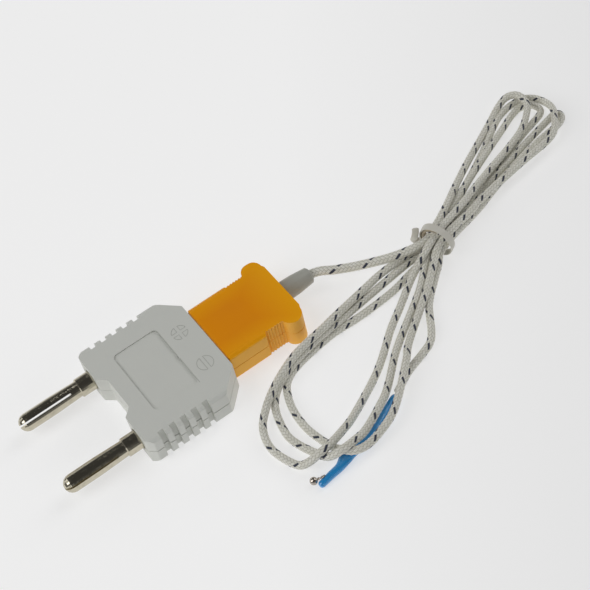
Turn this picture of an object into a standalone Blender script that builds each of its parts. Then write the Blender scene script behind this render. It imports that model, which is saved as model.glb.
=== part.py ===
"""Bead temperature probe: two-pin meter adapter, miniature connector, braided cord and bead.

The adapter and the connector lie flat on the surface. +X runs along the probe from the pin tips
towards the cord, +Y is the side of the positive pin, +Z is up. The origin is on the surface, below
the middle of the adapter, the connector and their pins. All sizes are in metres.
"""
import math

import bmesh
import bpy
from mathutils import Matrix, Vector

MM = 0.001

# Clearances
GAP = 0.3 * MM                     # between pieces that touch on the real probe
PARTING_GAP = 0.25 * MM            # between the two shells of a housing

# Both housings share one thickness and lie with their parting plane at half of it
THICKNESS = 7.9 * MM
MID_Z = THICKNESS / 2

# Meter pins
PIN_SPACING = 19.05 * MM
PIN_TIP_RADIUS = 2.0 * MM
PIN_ROOT_RADIUS = 1.8 * MM
PIN_COLLAR_RADIUS = 2.17 * MM
PIN_COLLAR_LENGTH = 3.5 * MM       # the part of the collar outside the adapter
PIN_REACH = 18.05 * MM             # from the adapter's face to the tip
PIN_SLIT_LENGTH = 12.5 * MM
PIN_SLIT_WIDTH = 0.4 * MM
PIN_SLIT_TILT = {"positive": 52, "negative": 31}   # degrees up from the surface, towards -Y
PIN_FLANGE_RADIUS = 2.9 * MM
PIN_FLANGE_THICKNESS = 1.0 * MM
PIN_FLANGE_DEPTH = 3.2 * MM        # from the adapter's face to the flange
PIN_STUD_RADIUS = 1.5 * MM
PIN_STUD_LENGTH = 7.3 * MM

# Adapter housing
ADAPTER_LENGTH = 24.2 * MM
ADAPTER_WIDTH = 29.6 * MM
ADAPTER_CHAMFER = 4.9 * MM         # the two cut corners beside the connector
ADAPTER_EDGE = 1.6 * MM            # rounding of the long edges, in the cross-section
ADAPTER_EDGE_TRIM = 0.3 * MM       # how much the sides cut off that rounding
ADAPTER_CORNER = 1.4 * MM          # the two small cut corners on the pin side
ADAPTER_ROOF = 1.05 * MM           # over the pins' chambers
SOCKET_ROOF = 1.2 * MM             # over the sockets' chambers
MATE_GAP = 0.3 * MM                # between the adapter's end and the connector's front
BAY_DEPTH = 2.0 * MM               # the bay in the adapter's face between the two pins
BAY_INNER_WIDTH = 8.6 * MM
BAY_OUTER_WIDTH = 12.2 * MM
GRIP_COUNT = 5
GRIP_PITCH = 2.7 * MM
GRIP_CENTRE = 9.3 * MM             # from the adapter's face to the middle groove
GRIP_WIDTH = 1.35 * MM
GRIP_DEPTH = 0.8 * MM              # at the parting line
GRIP_DRAFT = 0.6 * MM              # how much deeper at the top and bottom faces
PANEL_LENGTH = 10.85 * MM
PANEL_WIDTH = 17.4 * MM
PANEL_OFFSET = 5.7 * MM            # from the adapter's face to the panel
PANEL_DEPTH = 0.3 * MM
PANEL_CORNER = 1.0 * MM

# Contacts inside the adapter
CONTACT_STRIP = 0.5 * MM
CONTACT_FROM_FACE = 7.9 * MM       # from the adapter's face to the strip on the pin's stud
CONTACT_SIDE = 2.6 * MM            # how far the strip reaches past the stud's axis
SOCKET_WIDTH = 3.4 * MM
NUT_ACROSS_FLATS = 5.0 * MM
NUT_THICKNESS = 1.8 * MM

# Chambers inside the adapter, from its face along X
PIN_CHAMBER_START = 5.5 * MM
PIN_CHAMBER_LENGTH = 6.6 * MM
PIN_CHAMBER_HALF_WIDTH = 3.2 * MM
SOCKET_CHAMBER_START = 7.3 * MM
SOCKET_CHAMBER_HALF_WIDTH = 2.45 * MM
END_WALL = 1.8 * MM
SOCKET_START = CONTACT_FROM_FACE + 1.2 * CONTACT_STRIP
SOCKET_LENGTH = ADAPTER_LENGTH - END_WALL - 2 * GAP - SOCKET_START

# Blades of the connector
BLADE_SPACING = 7.9 * MM
BLADE_WIDTH = {"positive": 2.4 * MM, "negative": 3.2 * MM}
BLADE_THICKNESS = 0.8 * MM
BLADE_REACH = 12.2 * MM            # in front of the connector
BLADE_INSIDE = 9.6 * MM
TERMINAL_X = 7.6 * MM              # from the connector's front to the terminal screws
TERMINAL_HEAD_RADIUS = 1.5 * MM
TERMINAL_HEAD_HEIGHT = 1.0 * MM
TERMINAL_SHANK_RADIUS = 0.9 * MM
TERMINAL_SHANK_LENGTH = 2.4 * MM
TERMINAL_POCKET_LENGTH = 5.2 * MM
TERMINAL_POCKET_HALF_WIDTH = 2.2 * MM
TERMINAL_POCKET_HEIGHT = 4.4 * MM

# Connector housing
CONNECTOR_LENGTH = 19.05 * MM
CONNECTOR_FRONT_WIDTH = 16.8 * MM
CONNECTOR_WAIST_WIDTH = 15.5 * MM
CONNECTOR_EAR_WIDTH = 19.6 * MM
CONNECTOR_EAR_RADIUS = 2.4 * MM
CONNECTOR_FRONT_LENGTH = 9.2 * MM
CONNECTOR_EDGE = 1.55 * MM         # rounding of the front's long edges, in the cross-section
EAR_EDGE = 0.7 * MM                # and of the ears' edges
CONNECTOR_EDGE_TRIM = 0.3 * MM     # how much the sides cut off that rounding
RIB_COUNT = 6
RIB_PITCH = 0.72 * MM
RIB_START = 0.55 * MM              # from the step to the first groove
RIB_GROOVE_WIDTH = 0.5 * MM
RIB_GROOVE_DEPTH = 0.22 * MM
WIRE_CHAMBER_LENGTH = 5.0 * MM
WIRE_CHAMBER_HALF_WIDTH = 5.0 * MM
WIRE_CHAMBER_HEIGHT = 3.4 * MM

# Screws that close the housings, driven from below
SCREW_SHANK_RADIUS = 0.95 * MM
SCREW_HEAD_RADIUS = 1.75 * MM
SCREW_HEAD_HEIGHT = 1.1 * MM
SCREW_HEAD_RECESS = 0.25 * MM
SCREW_LENGTH = 5.0 * MM            # below the head
SCREW_SLOT_WIDTH = 0.5 * MM
SCREW_SLOT_DEPTH = 0.6 * MM
ADAPTER_SCREW_FROM_FACE = 4.9 * MM
CONNECTOR_SCREW_X = 3.3 * MM

# Strain relief and cord
BOOT_LENGTH = 7.5 * MM             # outside the connector
BOOT_Y = 1.05 * MM                 # the cord leaves a little to the positive side
BOOT_BASE_RADIUS = 2.35 * MM
BOOT_END_RADIUS = 1.88 * MM
BOOT_NECK_RADIUS = 1.85 * MM
BOOT_FLANGE_RADIUS = 2.8 * MM
BOOT_FLANGE_THICKNESS = 1.0 * MM
BOOT_INSIDE = 3.4 * MM             # how far the flange sits inside the connector's rear
CORD_DIAMETER = 1.9 * MM
CORD_INSIDE = 4.2 * MM             # cord that runs on inside the connector
WIRE_RADIUS = 0.3 * MM

# Tie: a flat ribbon ring round the eight strands of the bundled cord, with a twisted tail
TIE_CENTRE = (52.8, -9.93)         # millimetres from the connector's front, as the route below
TIE_TURN = 21.9                    # degrees from +X to the bundle's direction
TIE_INNER_RADIUS = 3.7 * MM
TIE_THICKNESS = 0.4 * MM
TIE_WIDTH = 1.6 * MM
TIE_TAIL_RADIUS = 0.55 * MM
BUNDLE_DROP = 0.4 * MM             # the strands lie this far below the ring's middle
BUNDLE_RADIUS = 2.1 * MM           # seven strands on this radius round one in the middle
PASS_HALF = 2.4 * MM               # half the straight stretch of a strand in the tie
# Where each pass lies round the middle strand, in degrees from the bundle's left, in cord order
PASS_ANGLES = (40, 91, 349, None, 297, 143, 246, 194)

# Tip of the cord
SLEEVE_RADII = (0.9, 0.9, 0.9, 0.9, 0.9, 0.95, 1.05, 1.15, 1.0, 0.95, 0.85)
SLEEVE_ROUTE = (
    (23.1, -34.1, 0.95), (20.8, -35.1, 0.95), (18.5, -36.2, 0.95), (16.1, -37.4, 0.95),
    (13.7, -38.4, 0.95), (10.8, -39.0, 1.0), (8.1, -39.2, 1.1), (6.0, -39.6, 1.2),
    (4.1, -40.3, 1.05), (2.0, -40.6, 1.0), (-0.5, -41.0, 0.9))
BEAD_RADIUS = 0.87 * MM
BEAD_CENTRE = (-1.75, -39.4, 0.87)
TIP_WIRE_RADIUS = 0.22 * MM

# The cord's route between its passes through the tie: millimetres along X from the connector's
# front, across, and up from the surface. Each run but the first and the last is a loop.
CORD_RUNS = (
    ((31.5, -1.3, 3.6), (36.0, -3.6, 3.3), (43.2, -7.6, 4.4)),
    ((60.1, -4.2, 4.6), (65.0, -0.7, 3.6), (71.7, 3.8, 2.2), (77.4, 7.1, 1.5), (83.5, 10.4, 1.3),
     (87.7, 12.5, 1.8), (90.7, 13.0, 2.6), (92.6, 11.7, 3.0), (93.0, 9.5, 3.0), (92.0, 7.0, 3.0),
     (87.2, 3.1, 2.9), (81.6, 0.8, 2.9), (72.5, -2.2, 3.3), (62.2, -6.7, 5.3)),
    ((47.3, -12.1, 5.0), (42.8, -13.5, 2.4), (36.2, -17.5, 1.0), (32.2, -20.1, 1.0),
     (23.6, -26.8, 1.0), (13.4, -32.6, 1.6), (8.8, -34.9, 3.0), (5.1, -36.5, 4.3),
     (2.2, -36.9, 4.3), (-0.3, -36.2, 2.6), (-2.3, -34.3, 1.1), (-4.1, -28.4, 1.0),
     (-3.2, -23.6, 1.2), (-0.7, -20.6, 2.1), (4.3, -17.3, 3.3), (11.6, -14.6, 4.8),
     (20.3, -12.7, 4.5), (24.9, -11.5, 4.1), (34.0, -9.4, 3.3), (38.6, -8.5, 3.1),
     (46.6, -8.2, 3.0)),
    ((61.7, -4.3, 3.1), (69.4, -0.4, 2.9), (78.2, 3.9, 2.1), (85.4, 7.5, 1.0), (88.6, 8.9, 1.0),
     (91.6, 9.6, 1.0), (94.0, 8.6, 1.0), (94.8, 6.8, 1.0), (94.0, 5.0, 1.0), (88.1, 3.2, 1.0),
     (77.9, -0.1, 1.0), (73.3, -1.4, 1.3), (63.2, -5.9, 3.0)),
    ((47.2, -13.0, 3.4), (42.4, -17.0, 2.4), (36.7, -20.5, 1.2), (29.8, -25.2, 1.0),
     (23.1, -31.3, 1.5), (19.4, -34.3, 2.6), (12.8, -37.8, 3.1), (9.2, -38.9, 4.1),
     (5.9, -39.5, 4.9), (3.6, -38.4, 3.4), (2.5, -36.1, 2.1), (0.7, -30.5, 1.0),
     (0.3, -26.3, 1.0), (2.5, -19.5, 1.2), (7.6, -15.9, 2.5), (16.0, -13.5, 2.9),
     (24.9, -12.1, 2.4), (29.7, -11.2, 1.9), (38.6, -10.0, 1.8), (46.0, -9.3, 1.9)),
    ((61.1, -3.5, 1.4), (69.3, 0.5, 1.0), (76.8, 4.7, 1.0), (86.4, 10.6, 1.0), (92.8, 11.5, 1.0),
     (95.6, 9.8, 1.1), (96.5, 7.1, 1.6), (96.2, 3.6, 2.7), (94.6, 0.7, 3.0), (90.4, -3.2, 2.9),
     (80.0, -4.7, 2.9), (67.9, -6.8, 3.2), (63.1, -8.6, 4.0)),
    ((48.9, -14.0, 4.4), (45.2, -16.9, 3.2), (40.3, -20.3, 2.1), (34.1, -24.6, 1.3),
     (31.3, -27.2, 2.1), (29.0, -29.9, 2.95), (20.3, -37.5, 2.9), (13.7, -40.3, 2.9),
     (9.8, -40.9, 3.2), (7.5, -40.0, 3.3), (6.6, -38.6, 3.0), (5.5, -35.5, 1.5),
     (4.2, -27.7, 1.0), (5.5, -20.2, 1.0), (9.6, -15.4, 1.0), (20.7, -13.1, 1.0),
     (29.1, -13.2, 1.0), (38.4, -12.6, 1.0), (46.4, -11.0, 1.2)),
    ((62.3, -5.6, 1.2), (66.5, -4.4, 1.0), (75.3, -2.3, 1.0), (87.2, 0.7, 1.0), (92.3, 1.9, 1.0),
     (96.2, 2.7, 1.0), (97.2, 1.6, 1.0), (96.2, 0.3, 1.0), (93.4, -0.5, 1.0), (87.4, -1.3, 1.0),
     (75.0, -4.3, 1.0), (66.2, -7.2, 1.0)),
    ((50.0, -13.9, 2.2), (47.3, -15.9, 1.2), (42.2, -20.4, 1.0), (38.3, -26.2, 1.0),
     (36.2, -28.4, 1.0), (33.1, -29.6, 1.0), (28.0, -31.3, 1.0), (23.5, -33.8, 0.95)),
)
STEP_COUNT = 6                     # steps of the smooth route between its points
CORD_TOLERANCE = 0.4 * MM          # how far the CAD tube's chords may stray from the smooth route

# The rigid pieces are centred on the origin along X
RIGID_LENGTH = PIN_REACH + ADAPTER_LENGTH + MATE_GAP + CONNECTOR_LENGTH + BOOT_LENGTH
PIN_TIP_X = -RIGID_LENGTH / 2
FACE_X = PIN_TIP_X + PIN_REACH
ADAPTER_END_X = FACE_X + ADAPTER_LENGTH
MATE_X = ADAPTER_END_X + MATE_GAP
REAR_X = MATE_X + CONNECTOR_LENGTH
BOOT_END_X = REAR_X + BOOT_LENGTH

SIDE = {"positive": 1, "negative": -1}


def clear_scene():
    for obj in list(bpy.data.objects):
        bpy.data.objects.remove(obj, do_unlink=True)


def new_collection(name):
    group = bpy.data.collections.new(name)
    bpy.context.scene.collection.children.link(group)
    return group


clear_scene()
PARTS = new_collection("temperature_probe")
CUTTERS = new_collection("cutters")


def material(name, colour, roughness, metallic=0.0):
    mat = bpy.data.materials.new(name)
    mat.use_nodes = True
    shader = mat.node_tree.nodes["Principled BSDF"]
    shader.inputs["Base Color"].default_value = (*colour, 1.0)
    shader.inputs["Roughness"].default_value = roughness
    shader.inputs["Metallic"].default_value = metallic
    return mat


def mesh_object(name, bm):
    """An object in the cutters' collection; finish_part moves a real piece out of it."""
    mesh = bpy.data.meshes.new(name)
    bm.to_mesh(mesh)
    bm.free()
    obj = bpy.data.objects.new(name, mesh)
    CUTTERS.objects.link(obj)
    obj.hide_render = True
    obj.display_type = "WIRE"
    return obj


def finish_part(obj, mat):
    CUTTERS.objects.unlink(obj)
    PARTS.objects.link(obj)
    obj.hide_render = False
    obj.display_type = "TEXTURED"
    obj.data.materials.clear()
    obj.data.materials.append(mat)
    return obj


def box(name, low, high):
    bm = bmesh.new()
    bmesh.ops.create_cube(bm, size=1.0)
    size = [b - a for a, b in zip(low, high)]
    middle = [(a + b) / 2 for a, b in zip(low, high)]
    bmesh.ops.scale(bm, vec=size, verts=bm.verts)
    bmesh.ops.translate(bm, vec=middle, verts=bm.verts)
    return mesh_object(name, bm)


def rod(name, radius, start, end, sides=24):
    """A cylinder from one point to another."""
    start, end = Vector(start), Vector(end)
    bm = bmesh.new()
    turn = (end - start).to_track_quat("Z", "Y").to_matrix().to_4x4()
    place = Matrix.Translation((start + end) / 2) @ turn
    bmesh.ops.create_cone(bm, cap_ends=True, segments=sides, radius1=radius, radius2=radius,
                          depth=(end - start).length, matrix=place)
    return mesh_object(name, bm)


def curve_to_mesh(curve_obj, name):
    """The evaluated curve as a welded mesh object, with the flat faces' inner edges dissolved."""
    bpy.context.view_layer.update()
    depsgraph = bpy.context.evaluated_depsgraph_get()
    mesh = bpy.data.meshes.new_from_object(curve_obj.evaluated_get(depsgraph))
    bm = bmesh.new()
    bm.from_mesh(mesh)
    bmesh.ops.remove_doubles(bm, verts=bm.verts, dist=0.00001)
    bmesh.ops.dissolve_limit(bm, angle_limit=math.radians(0.5), verts=bm.verts, edges=bm.edges)
    bmesh.ops.recalc_face_normals(bm, faces=bm.faces)
    obj = mesh_object(name, bm)
    obj.matrix_world = curve_obj.matrix_world
    bpy.data.meshes.remove(mesh)
    bpy.data.objects.remove(curve_obj, do_unlink=True)
    return obj


def prism(name, outline, low_z, high_z):
    """A flat outline of (x, y) points, extruded from low_z to high_z."""
    curve = bpy.data.curves.new(name + "_outline", "CURVE")
    curve.dimensions = "2D"
    curve.fill_mode = "BOTH"
    curve.extrude = (high_z - low_z) / 2
    spline = curve.splines.new("POLY")
    spline.points.add(len(outline) - 1)
    for point, (x, y) in zip(spline.points, outline):
        point.co = (x, y, 0.0, 1.0)
    spline.use_cyclic_u = True
    obj = bpy.data.objects.new(name + "_outline", curve)
    obj.location = (0.0, 0.0, (low_z + high_z) / 2)
    CUTTERS.objects.link(obj)
    return curve_to_mesh(obj, name)


def filleted(corners, arc_steps=6):
    """A closed outline from (x, y, radius) corners, each corner rounded by an arc."""
    outline = []
    count = len(corners)
    for i, (x, y, radius) in enumerate(corners):
        here = Vector((x, y))
        before = (Vector(corners[i - 1][:2]) - here).normalized()
        after = (Vector(corners[(i + 1) % count][:2]) - here).normalized()
        if radius <= 0:
            outline.append((x, y))
            continue
        half = before.angle(after) / 2
        centre = here + (before + after).normalized() * radius / math.sin(half)
        first = here + before * radius / math.tan(half) - centre
        last = here + after * radius / math.tan(half) - centre
        sweep = first.angle_signed(last)
        for step in range(arc_steps + 1):
            turned = first.copy()
            turned.rotate(Matrix.Rotation(-sweep * step / arc_steps, 2))
            outline.append(tuple(centre + turned))
    return outline


def both_sides(half):
    """Corners of the +Y half, front to back, with their mirror images on the -Y side."""
    return half + [(x, -y, r) for x, y, r in reversed(half)]


def turned(name, profile, steps=28):
    """A profile of (distance along, radius) from the tip back, turned about its own axis.

    The piece stands on +Z with the tip up; the caller turns it into place.
    """
    bm = bmesh.new()
    closed = profile[0] == profile[-1]
    points = profile[:-1] if closed else profile
    verts = [bm.verts.new((radius, 0.0, -along)) for along, radius in points]
    for a, b in zip(verts, verts[1:] + verts[:1] if closed else verts[1:]):
        bm.edges.new((a, b))
    obj = mesh_object(name, bm)
    screw = obj.modifiers.new("turn", "SCREW")
    screw.steps = steps
    screw.render_steps = steps
    screw.use_merge_vertices = True
    screw.merge_threshold = 0.00001
    return obj


def bevel(obj, width, segments):
    mod = obj.modifiers.new("edge", "BEVEL")
    mod.width = width
    mod.segments = segments
    mod.limit_method = "ANGLE"
    mod.angle_limit = math.radians(50)
    mod.use_clamp_overlap = False
    return mod


def combine(obj, other, operation):
    mod = obj.modifiers.new(operation.lower() + "_" + other.name, "BOOLEAN")
    mod.operation = operation
    mod.solver = "EXACT"
    mod.object = other
    return mod


def cut(obj, *cutters):
    for cutter in cutters:
        combine(obj, cutter, "DIFFERENCE")


def columns(name, places, half_width, depth, low_z, high_z):
    """Upright four-sided posts at (x, y), as one cutter for a row of V grooves."""
    bm = bmesh.new()
    for x, y in places:
        made = bmesh.ops.create_cone(bm, cap_ends=True, segments=4, radius1=1.0, radius2=1.0,
                                     depth=high_z - low_z)
        bmesh.ops.scale(bm, vec=(half_width, depth, 1.0), verts=made["verts"])
        bmesh.ops.translate(bm, vec=(x, y, (low_z + high_z) / 2), verts=made["verts"])
    return mesh_object(name, bm)


def join_rings(bm, rings):
    """Closed skin over rings of as many corners each."""
    for near, far in zip(rings, rings[1:]):
        for i in range(len(near)):
            j = (i + 1) % len(near)
            bm.faces.new((near[i], near[j], far[j]))
            bm.faces.new((near[i], far[j], far[i]))
    bm.faces.new(rings[0])
    bm.faces.new(rings[-1])
    bmesh.ops.recalc_face_normals(bm, faces=bm.faces)


# Materials, one for each kind of piece
def plastic(name, colour, roughness=0.45):
    return material(name, colour, roughness)


def metal(name, colour, roughness=0.25):
    return material(name, colour, roughness, metallic=1.0)


# Adapter
def adapter_outline():
    half_width = ADAPTER_WIDTH / 2
    small = 0.5 * MM
    half = [
        (FACE_X + BAY_DEPTH, BAY_INNER_WIDTH / 2, small),
        (FACE_X, BAY_OUTER_WIDTH / 2, small),
        (FACE_X, half_width - ADAPTER_CORNER, small),
        (FACE_X + ADAPTER_CORNER, half_width, small),
        (ADAPTER_END_X - ADAPTER_CHAMFER, half_width, small),
        (ADAPTER_END_X, half_width - ADAPTER_CHAMFER, small),
    ]
    return filleted(both_sides(half))


def adapter_grooves():
    """Cutter for the notches on both sides; their floors are drafted from the parting line."""
    first = FACE_X + GRIP_CENTRE - (GRIP_COUNT - 1) / 2 * GRIP_PITCH
    outside = ADAPTER_WIDTH / 2 + MM
    floor = ADAPTER_WIDTH / 2 - GRIP_DEPTH
    reach = MID_Z + MM
    deepest = floor - GRIP_DRAFT * reach / MID_Z
    section = [(outside, -MM), (deepest, -MM), (floor, MID_Z), (deepest, MID_Z + reach),
               (outside, MID_Z + reach)]
    bm = bmesh.new()
    for i in range(GRIP_COUNT):
        middle = first + i * GRIP_PITCH
        for side in (1, -1):
            rings = [[bm.verts.new((middle + end * GRIP_WIDTH / 2, side * y, z)) for y, z in section]
                     for end in (-1, 1)]
            join_rings(bm, rings)
    return mesh_object("grip_grooves", bm)


def adapter_panel():
    low_x = FACE_X + PANEL_OFFSET
    high_x = low_x + PANEL_LENGTH
    half = [(low_x, PANEL_WIDTH / 2, PANEL_CORNER), (high_x, PANEL_WIDTH / 2, PANEL_CORNER)]
    return prism("panel_recess", filleted(both_sides(half), 4), THICKNESS - PANEL_DEPTH,
                 THICKNESS + MM)


def pin_y(pole):
    return SIDE[pole] * PIN_SPACING / 2


def blade_y(pole):
    return SIDE[pole] * BLADE_SPACING / 2


def span(a, b):
    return min(a, b), max(a, b)


def adapter_hollow(pole):
    """Cutters for one pole: the pin's bore and flange seat, two chambers and the blade's slot."""
    y = pin_y(pole)
    low_z, high_z = ADAPTER_ROOF, THICKNESS - ADAPTER_ROOF
    flange_x = FACE_X + PIN_FLANGE_DEPTH
    chamber_x = FACE_X + PIN_CHAMBER_START
    bore = rod(pole + "_pin_bore", PIN_COLLAR_RADIUS + GAP, (FACE_X - MM, y, MID_Z),
               (flange_x, y, MID_Z))
    seat = rod(pole + "_flange_seat", PIN_FLANGE_RADIUS + GAP, (flange_x - GAP, y, MID_Z),
               (flange_x + PIN_FLANGE_THICKNESS + GAP, y, MID_Z))
    stud_hole = rod(pole + "_stud_hole", PIN_STUD_RADIUS + GAP, (flange_x, y, MID_Z),
                    (chamber_x + MM, y, MID_Z))
    pin_chamber = box(pole + "_pin_chamber", (chamber_x, y - PIN_CHAMBER_HALF_WIDTH, low_z),
                      (chamber_x + PIN_CHAMBER_LENGTH, y + PIN_CHAMBER_HALF_WIDTH, high_z))
    y = blade_y(pole)
    low_z, high_z = SOCKET_ROOF, THICKNESS - SOCKET_ROOF
    slot_half = BLADE_WIDTH[pole] / 2 + GAP
    socket_chamber = box(pole + "_socket_chamber",
                         (FACE_X + SOCKET_CHAMBER_START, y - SOCKET_CHAMBER_HALF_WIDTH, low_z),
                         (ADAPTER_END_X - END_WALL, y + SOCKET_CHAMBER_HALF_WIDTH, high_z))
    slot = box(pole + "_adapter_slot",
               (ADAPTER_END_X - END_WALL - MM, y - slot_half, MID_Z - BLADE_THICKNESS / 2 - GAP),
               (ADAPTER_END_X + MM, y + slot_half, MID_Z + BLADE_THICKNESS / 2 + GAP))
    return [bore, seat, stud_hole, pin_chamber, socket_chamber, slot]


def screw_hole(name, x, y):
    """Counterbore and clearance hole for a screw driven from below."""
    head_top = SCREW_HEAD_RECESS + SCREW_HEAD_HEIGHT
    shank = rod(name + "_hole", SCREW_SHANK_RADIUS + GAP, (x, y, -0.5 * MM),
                (x, y, head_top + SCREW_LENGTH + GAP))
    head = rod(name + "_counterbore", SCREW_HEAD_RADIUS + GAP, (x, y, -MM), (x, y, head_top + GAP))
    return [shank, head]


def split_shells(name, make_block, cutters, mat, extra_upper=()):
    """The two shells of a housing: the same block and hollows, parted at the middle."""
    below = box(name + "_below_parting", (-0.1, -0.1, -0.1), (0.1, 0.1, MID_Z + PARTING_GAP / 2))
    above = box(name + "_above_parting", (-0.1, -0.1, MID_Z - PARTING_GAP / 2), (0.1, 0.1, 0.1))
    for half, other, extra in (("upper", below, extra_upper), ("lower", above, ())):
        block = make_block(name + "_" + half + "_shell")
        cut(block, *cutters, *extra, other)
        finish_part(block, mat)


def make_adapter():
    grey = plastic("adapter_plastic", (0.42, 0.43, 0.40))
    cutters = [adapter_grooves()]
    for pole in SIDE:
        cutters += adapter_hollow(pole)
    cutters += screw_hole("adapter_screw", FACE_X + ADAPTER_SCREW_FROM_FACE, 0.0)

    plan = prism("adapter_plan", adapter_outline(), -5 * MM, THICKNESS + 5 * MM)
    side = ADAPTER_WIDTH / 2 + ADAPTER_EDGE_TRIM

    def block(name):
        obj = box(name, (FACE_X - 5 * MM, -side, 0.0), (ADAPTER_END_X + 5 * MM, side, THICKNESS))
        bevel(obj, ADAPTER_EDGE, 4)
        combine(obj, plan, "INTERSECT")
        return obj

    split_shells("adapter", block, cutters, grey, extra_upper=[adapter_panel()])


def make_pin(pole):
    y = pin_y(pole)
    nickel = metal("pin_nickel_" + pole, (0.62, 0.60, 0.56), 0.16)
    dome = [(PIN_TIP_RADIUS * (1 - math.cos(math.radians(a))),
             PIN_TIP_RADIUS * math.sin(math.radians(a))) for a in (0, 18, 36, 54, 72, 90)]
    collar_start = PIN_REACH - PIN_COLLAR_LENGTH
    flange_start = PIN_REACH + PIN_FLANGE_DEPTH
    flange_end = flange_start + PIN_FLANGE_THICKNESS
    stud_end = flange_end + PIN_STUD_LENGTH
    edge = 0.2 * MM
    profile = dome + [
        (0.45 * PIN_REACH, PIN_TIP_RADIUS),
        (collar_start, PIN_ROOT_RADIUS),
        (collar_start, PIN_COLLAR_RADIUS - edge),
        (collar_start + edge, PIN_COLLAR_RADIUS),
        (flange_start, PIN_COLLAR_RADIUS),
        (flange_start, PIN_FLANGE_RADIUS),
        (flange_end, PIN_FLANGE_RADIUS),
        (flange_end, PIN_STUD_RADIUS),
        (stud_end - edge, PIN_STUD_RADIUS),
        (stud_end, PIN_STUD_RADIUS - edge),
        (stud_end, 0.0),
    ]
    pin = turned("pin_" + pole, profile)
    pin.rotation_euler = (0.0, -math.pi / 2, 0.0)
    pin.location = (PIN_TIP_X, y, MID_Z)
    slit = box(pole + "_pin_slit", (-MM, -3 * MM, -PIN_SLIT_WIDTH / 2),
               (PIN_SLIT_LENGTH, 3 * MM, PIN_SLIT_WIDTH / 2))
    slit.location = (PIN_TIP_X, y, MID_Z)
    slit.rotation_euler = (math.radians(-PIN_SLIT_TILT[pole]), 0.0, 0.0)
    cut(pin, slit)
    finish_part(pin, nickel)


def make_contact(pole):
    """A strip on the pin's stud, with two spring leaves that hold the blade between them."""
    alloy = metal("contact_alloy_" + pole, (0.66, 0.60, 0.50), 0.3)
    back_x = FACE_X + CONTACT_FROM_FACE
    low_z, high_z = SOCKET_ROOF + GAP, THICKNESS - SOCKET_ROOF - GAP
    inner = blade_y(pole) - SIDE[pole] * SOCKET_WIDTH / 2
    outer = pin_y(pole) + SIDE[pole] * CONTACT_SIDE
    low_y, high_y = span(inner, outer)
    strip = box("contact_" + pole, (back_x, low_y, low_z),
                (back_x + CONTACT_STRIP, high_y, high_z))
    leaf_gap = BLADE_THICKNESS / 2 + GAP
    mouth = 0.35 * MM
    bm = bmesh.new()
    line = [
        (SOCKET_LENGTH, leaf_gap + mouth), (SOCKET_LENGTH - 1.5 * MM, leaf_gap),
        (0.0, leaf_gap), (0.0, -leaf_gap), (SOCKET_LENGTH - 1.5 * MM, -leaf_gap),
        (SOCKET_LENGTH, -leaf_gap - mouth)]
    half = SOCKET_WIDTH / 2
    rows = [[bm.verts.new((x, side * half, z)) for x, z in line] for side in (-1, 1)]
    for i in range(len(line) - 1):
        bm.faces.new((rows[0][i], rows[0][i + 1], rows[1][i + 1], rows[1][i]))
    leaves = mesh_object(pole + "_socket_leaves", bm)
    leaves.location = (FACE_X + SOCKET_START, blade_y(pole), MID_Z)
    thick = leaves.modifiers.new("strip", "SOLIDIFY")
    thick.thickness = CONTACT_STRIP
    thick.offset = -1.0
    thick.use_even_offset = True
    stud_hole = rod(pole + "_strip_hole", PIN_STUD_RADIUS + GAP,
                    (back_x - MM, pin_y(pole), MID_Z), (back_x + MM, pin_y(pole), MID_Z))
    combine(strip, leaves, "UNION")
    cut(strip, stud_hole)
    finish_part(strip, alloy)


def make_pin_nut(pole):
    y = pin_y(pole)
    start = FACE_X + CONTACT_FROM_FACE + CONTACT_STRIP + GAP
    radius = NUT_ACROSS_FLATS / 2 / math.cos(math.radians(30))
    nut = rod("pin_nut_" + pole, radius, (start, y, MID_Z), (start + NUT_THICKNESS, y, MID_Z), 6)
    hole = rod(pole + "_nut_hole", PIN_STUD_RADIUS + GAP, (start - MM, y, MID_Z),
               (start + NUT_THICKNESS + MM, y, MID_Z))
    bevel(nut, 0.2 * MM, 1)
    cut(nut, hole)
    finish_part(nut, metal("nut_brass_" + pole, (0.72, 0.58, 0.32), 0.3))


def make_housing_screw(name, x, y):
    head_top = SCREW_HEAD_RECESS + SCREW_HEAD_HEIGHT
    edge = 0.3 * MM
    top = head_top + SCREW_LENGTH
    profile = [
        (0.0, 0.0), (edge, SCREW_SHANK_RADIUS - edge), (2 * edge, SCREW_SHANK_RADIUS),
        (SCREW_LENGTH, SCREW_SHANK_RADIUS), (SCREW_LENGTH, SCREW_HEAD_RADIUS),
        (SCREW_LENGTH + SCREW_HEAD_HEIGHT - edge, SCREW_HEAD_RADIUS),
        (SCREW_LENGTH + SCREW_HEAD_HEIGHT, SCREW_HEAD_RADIUS - edge),
        (SCREW_LENGTH + SCREW_HEAD_HEIGHT, 0.0)]
    screw = turned(name, profile, 20)
    screw.location = (x, y, top)
    reach = SCREW_HEAD_RADIUS * 0.62
    half = SCREW_SLOT_WIDTH / 2
    low, high = SCREW_HEAD_RECESS - MM, SCREW_HEAD_RECESS + SCREW_SLOT_DEPTH
    across = box(name + "_slot_across", (x - half, y - reach, low), (x + half, y + reach, high))
    along = box(name + "_slot_along", (x - reach, y - half, low), (x + reach, y + half, high))
    cut(screw, across, along)
    finish_part(screw, metal(name + "_steel", (0.55, 0.55, 0.55), 0.3))


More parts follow.
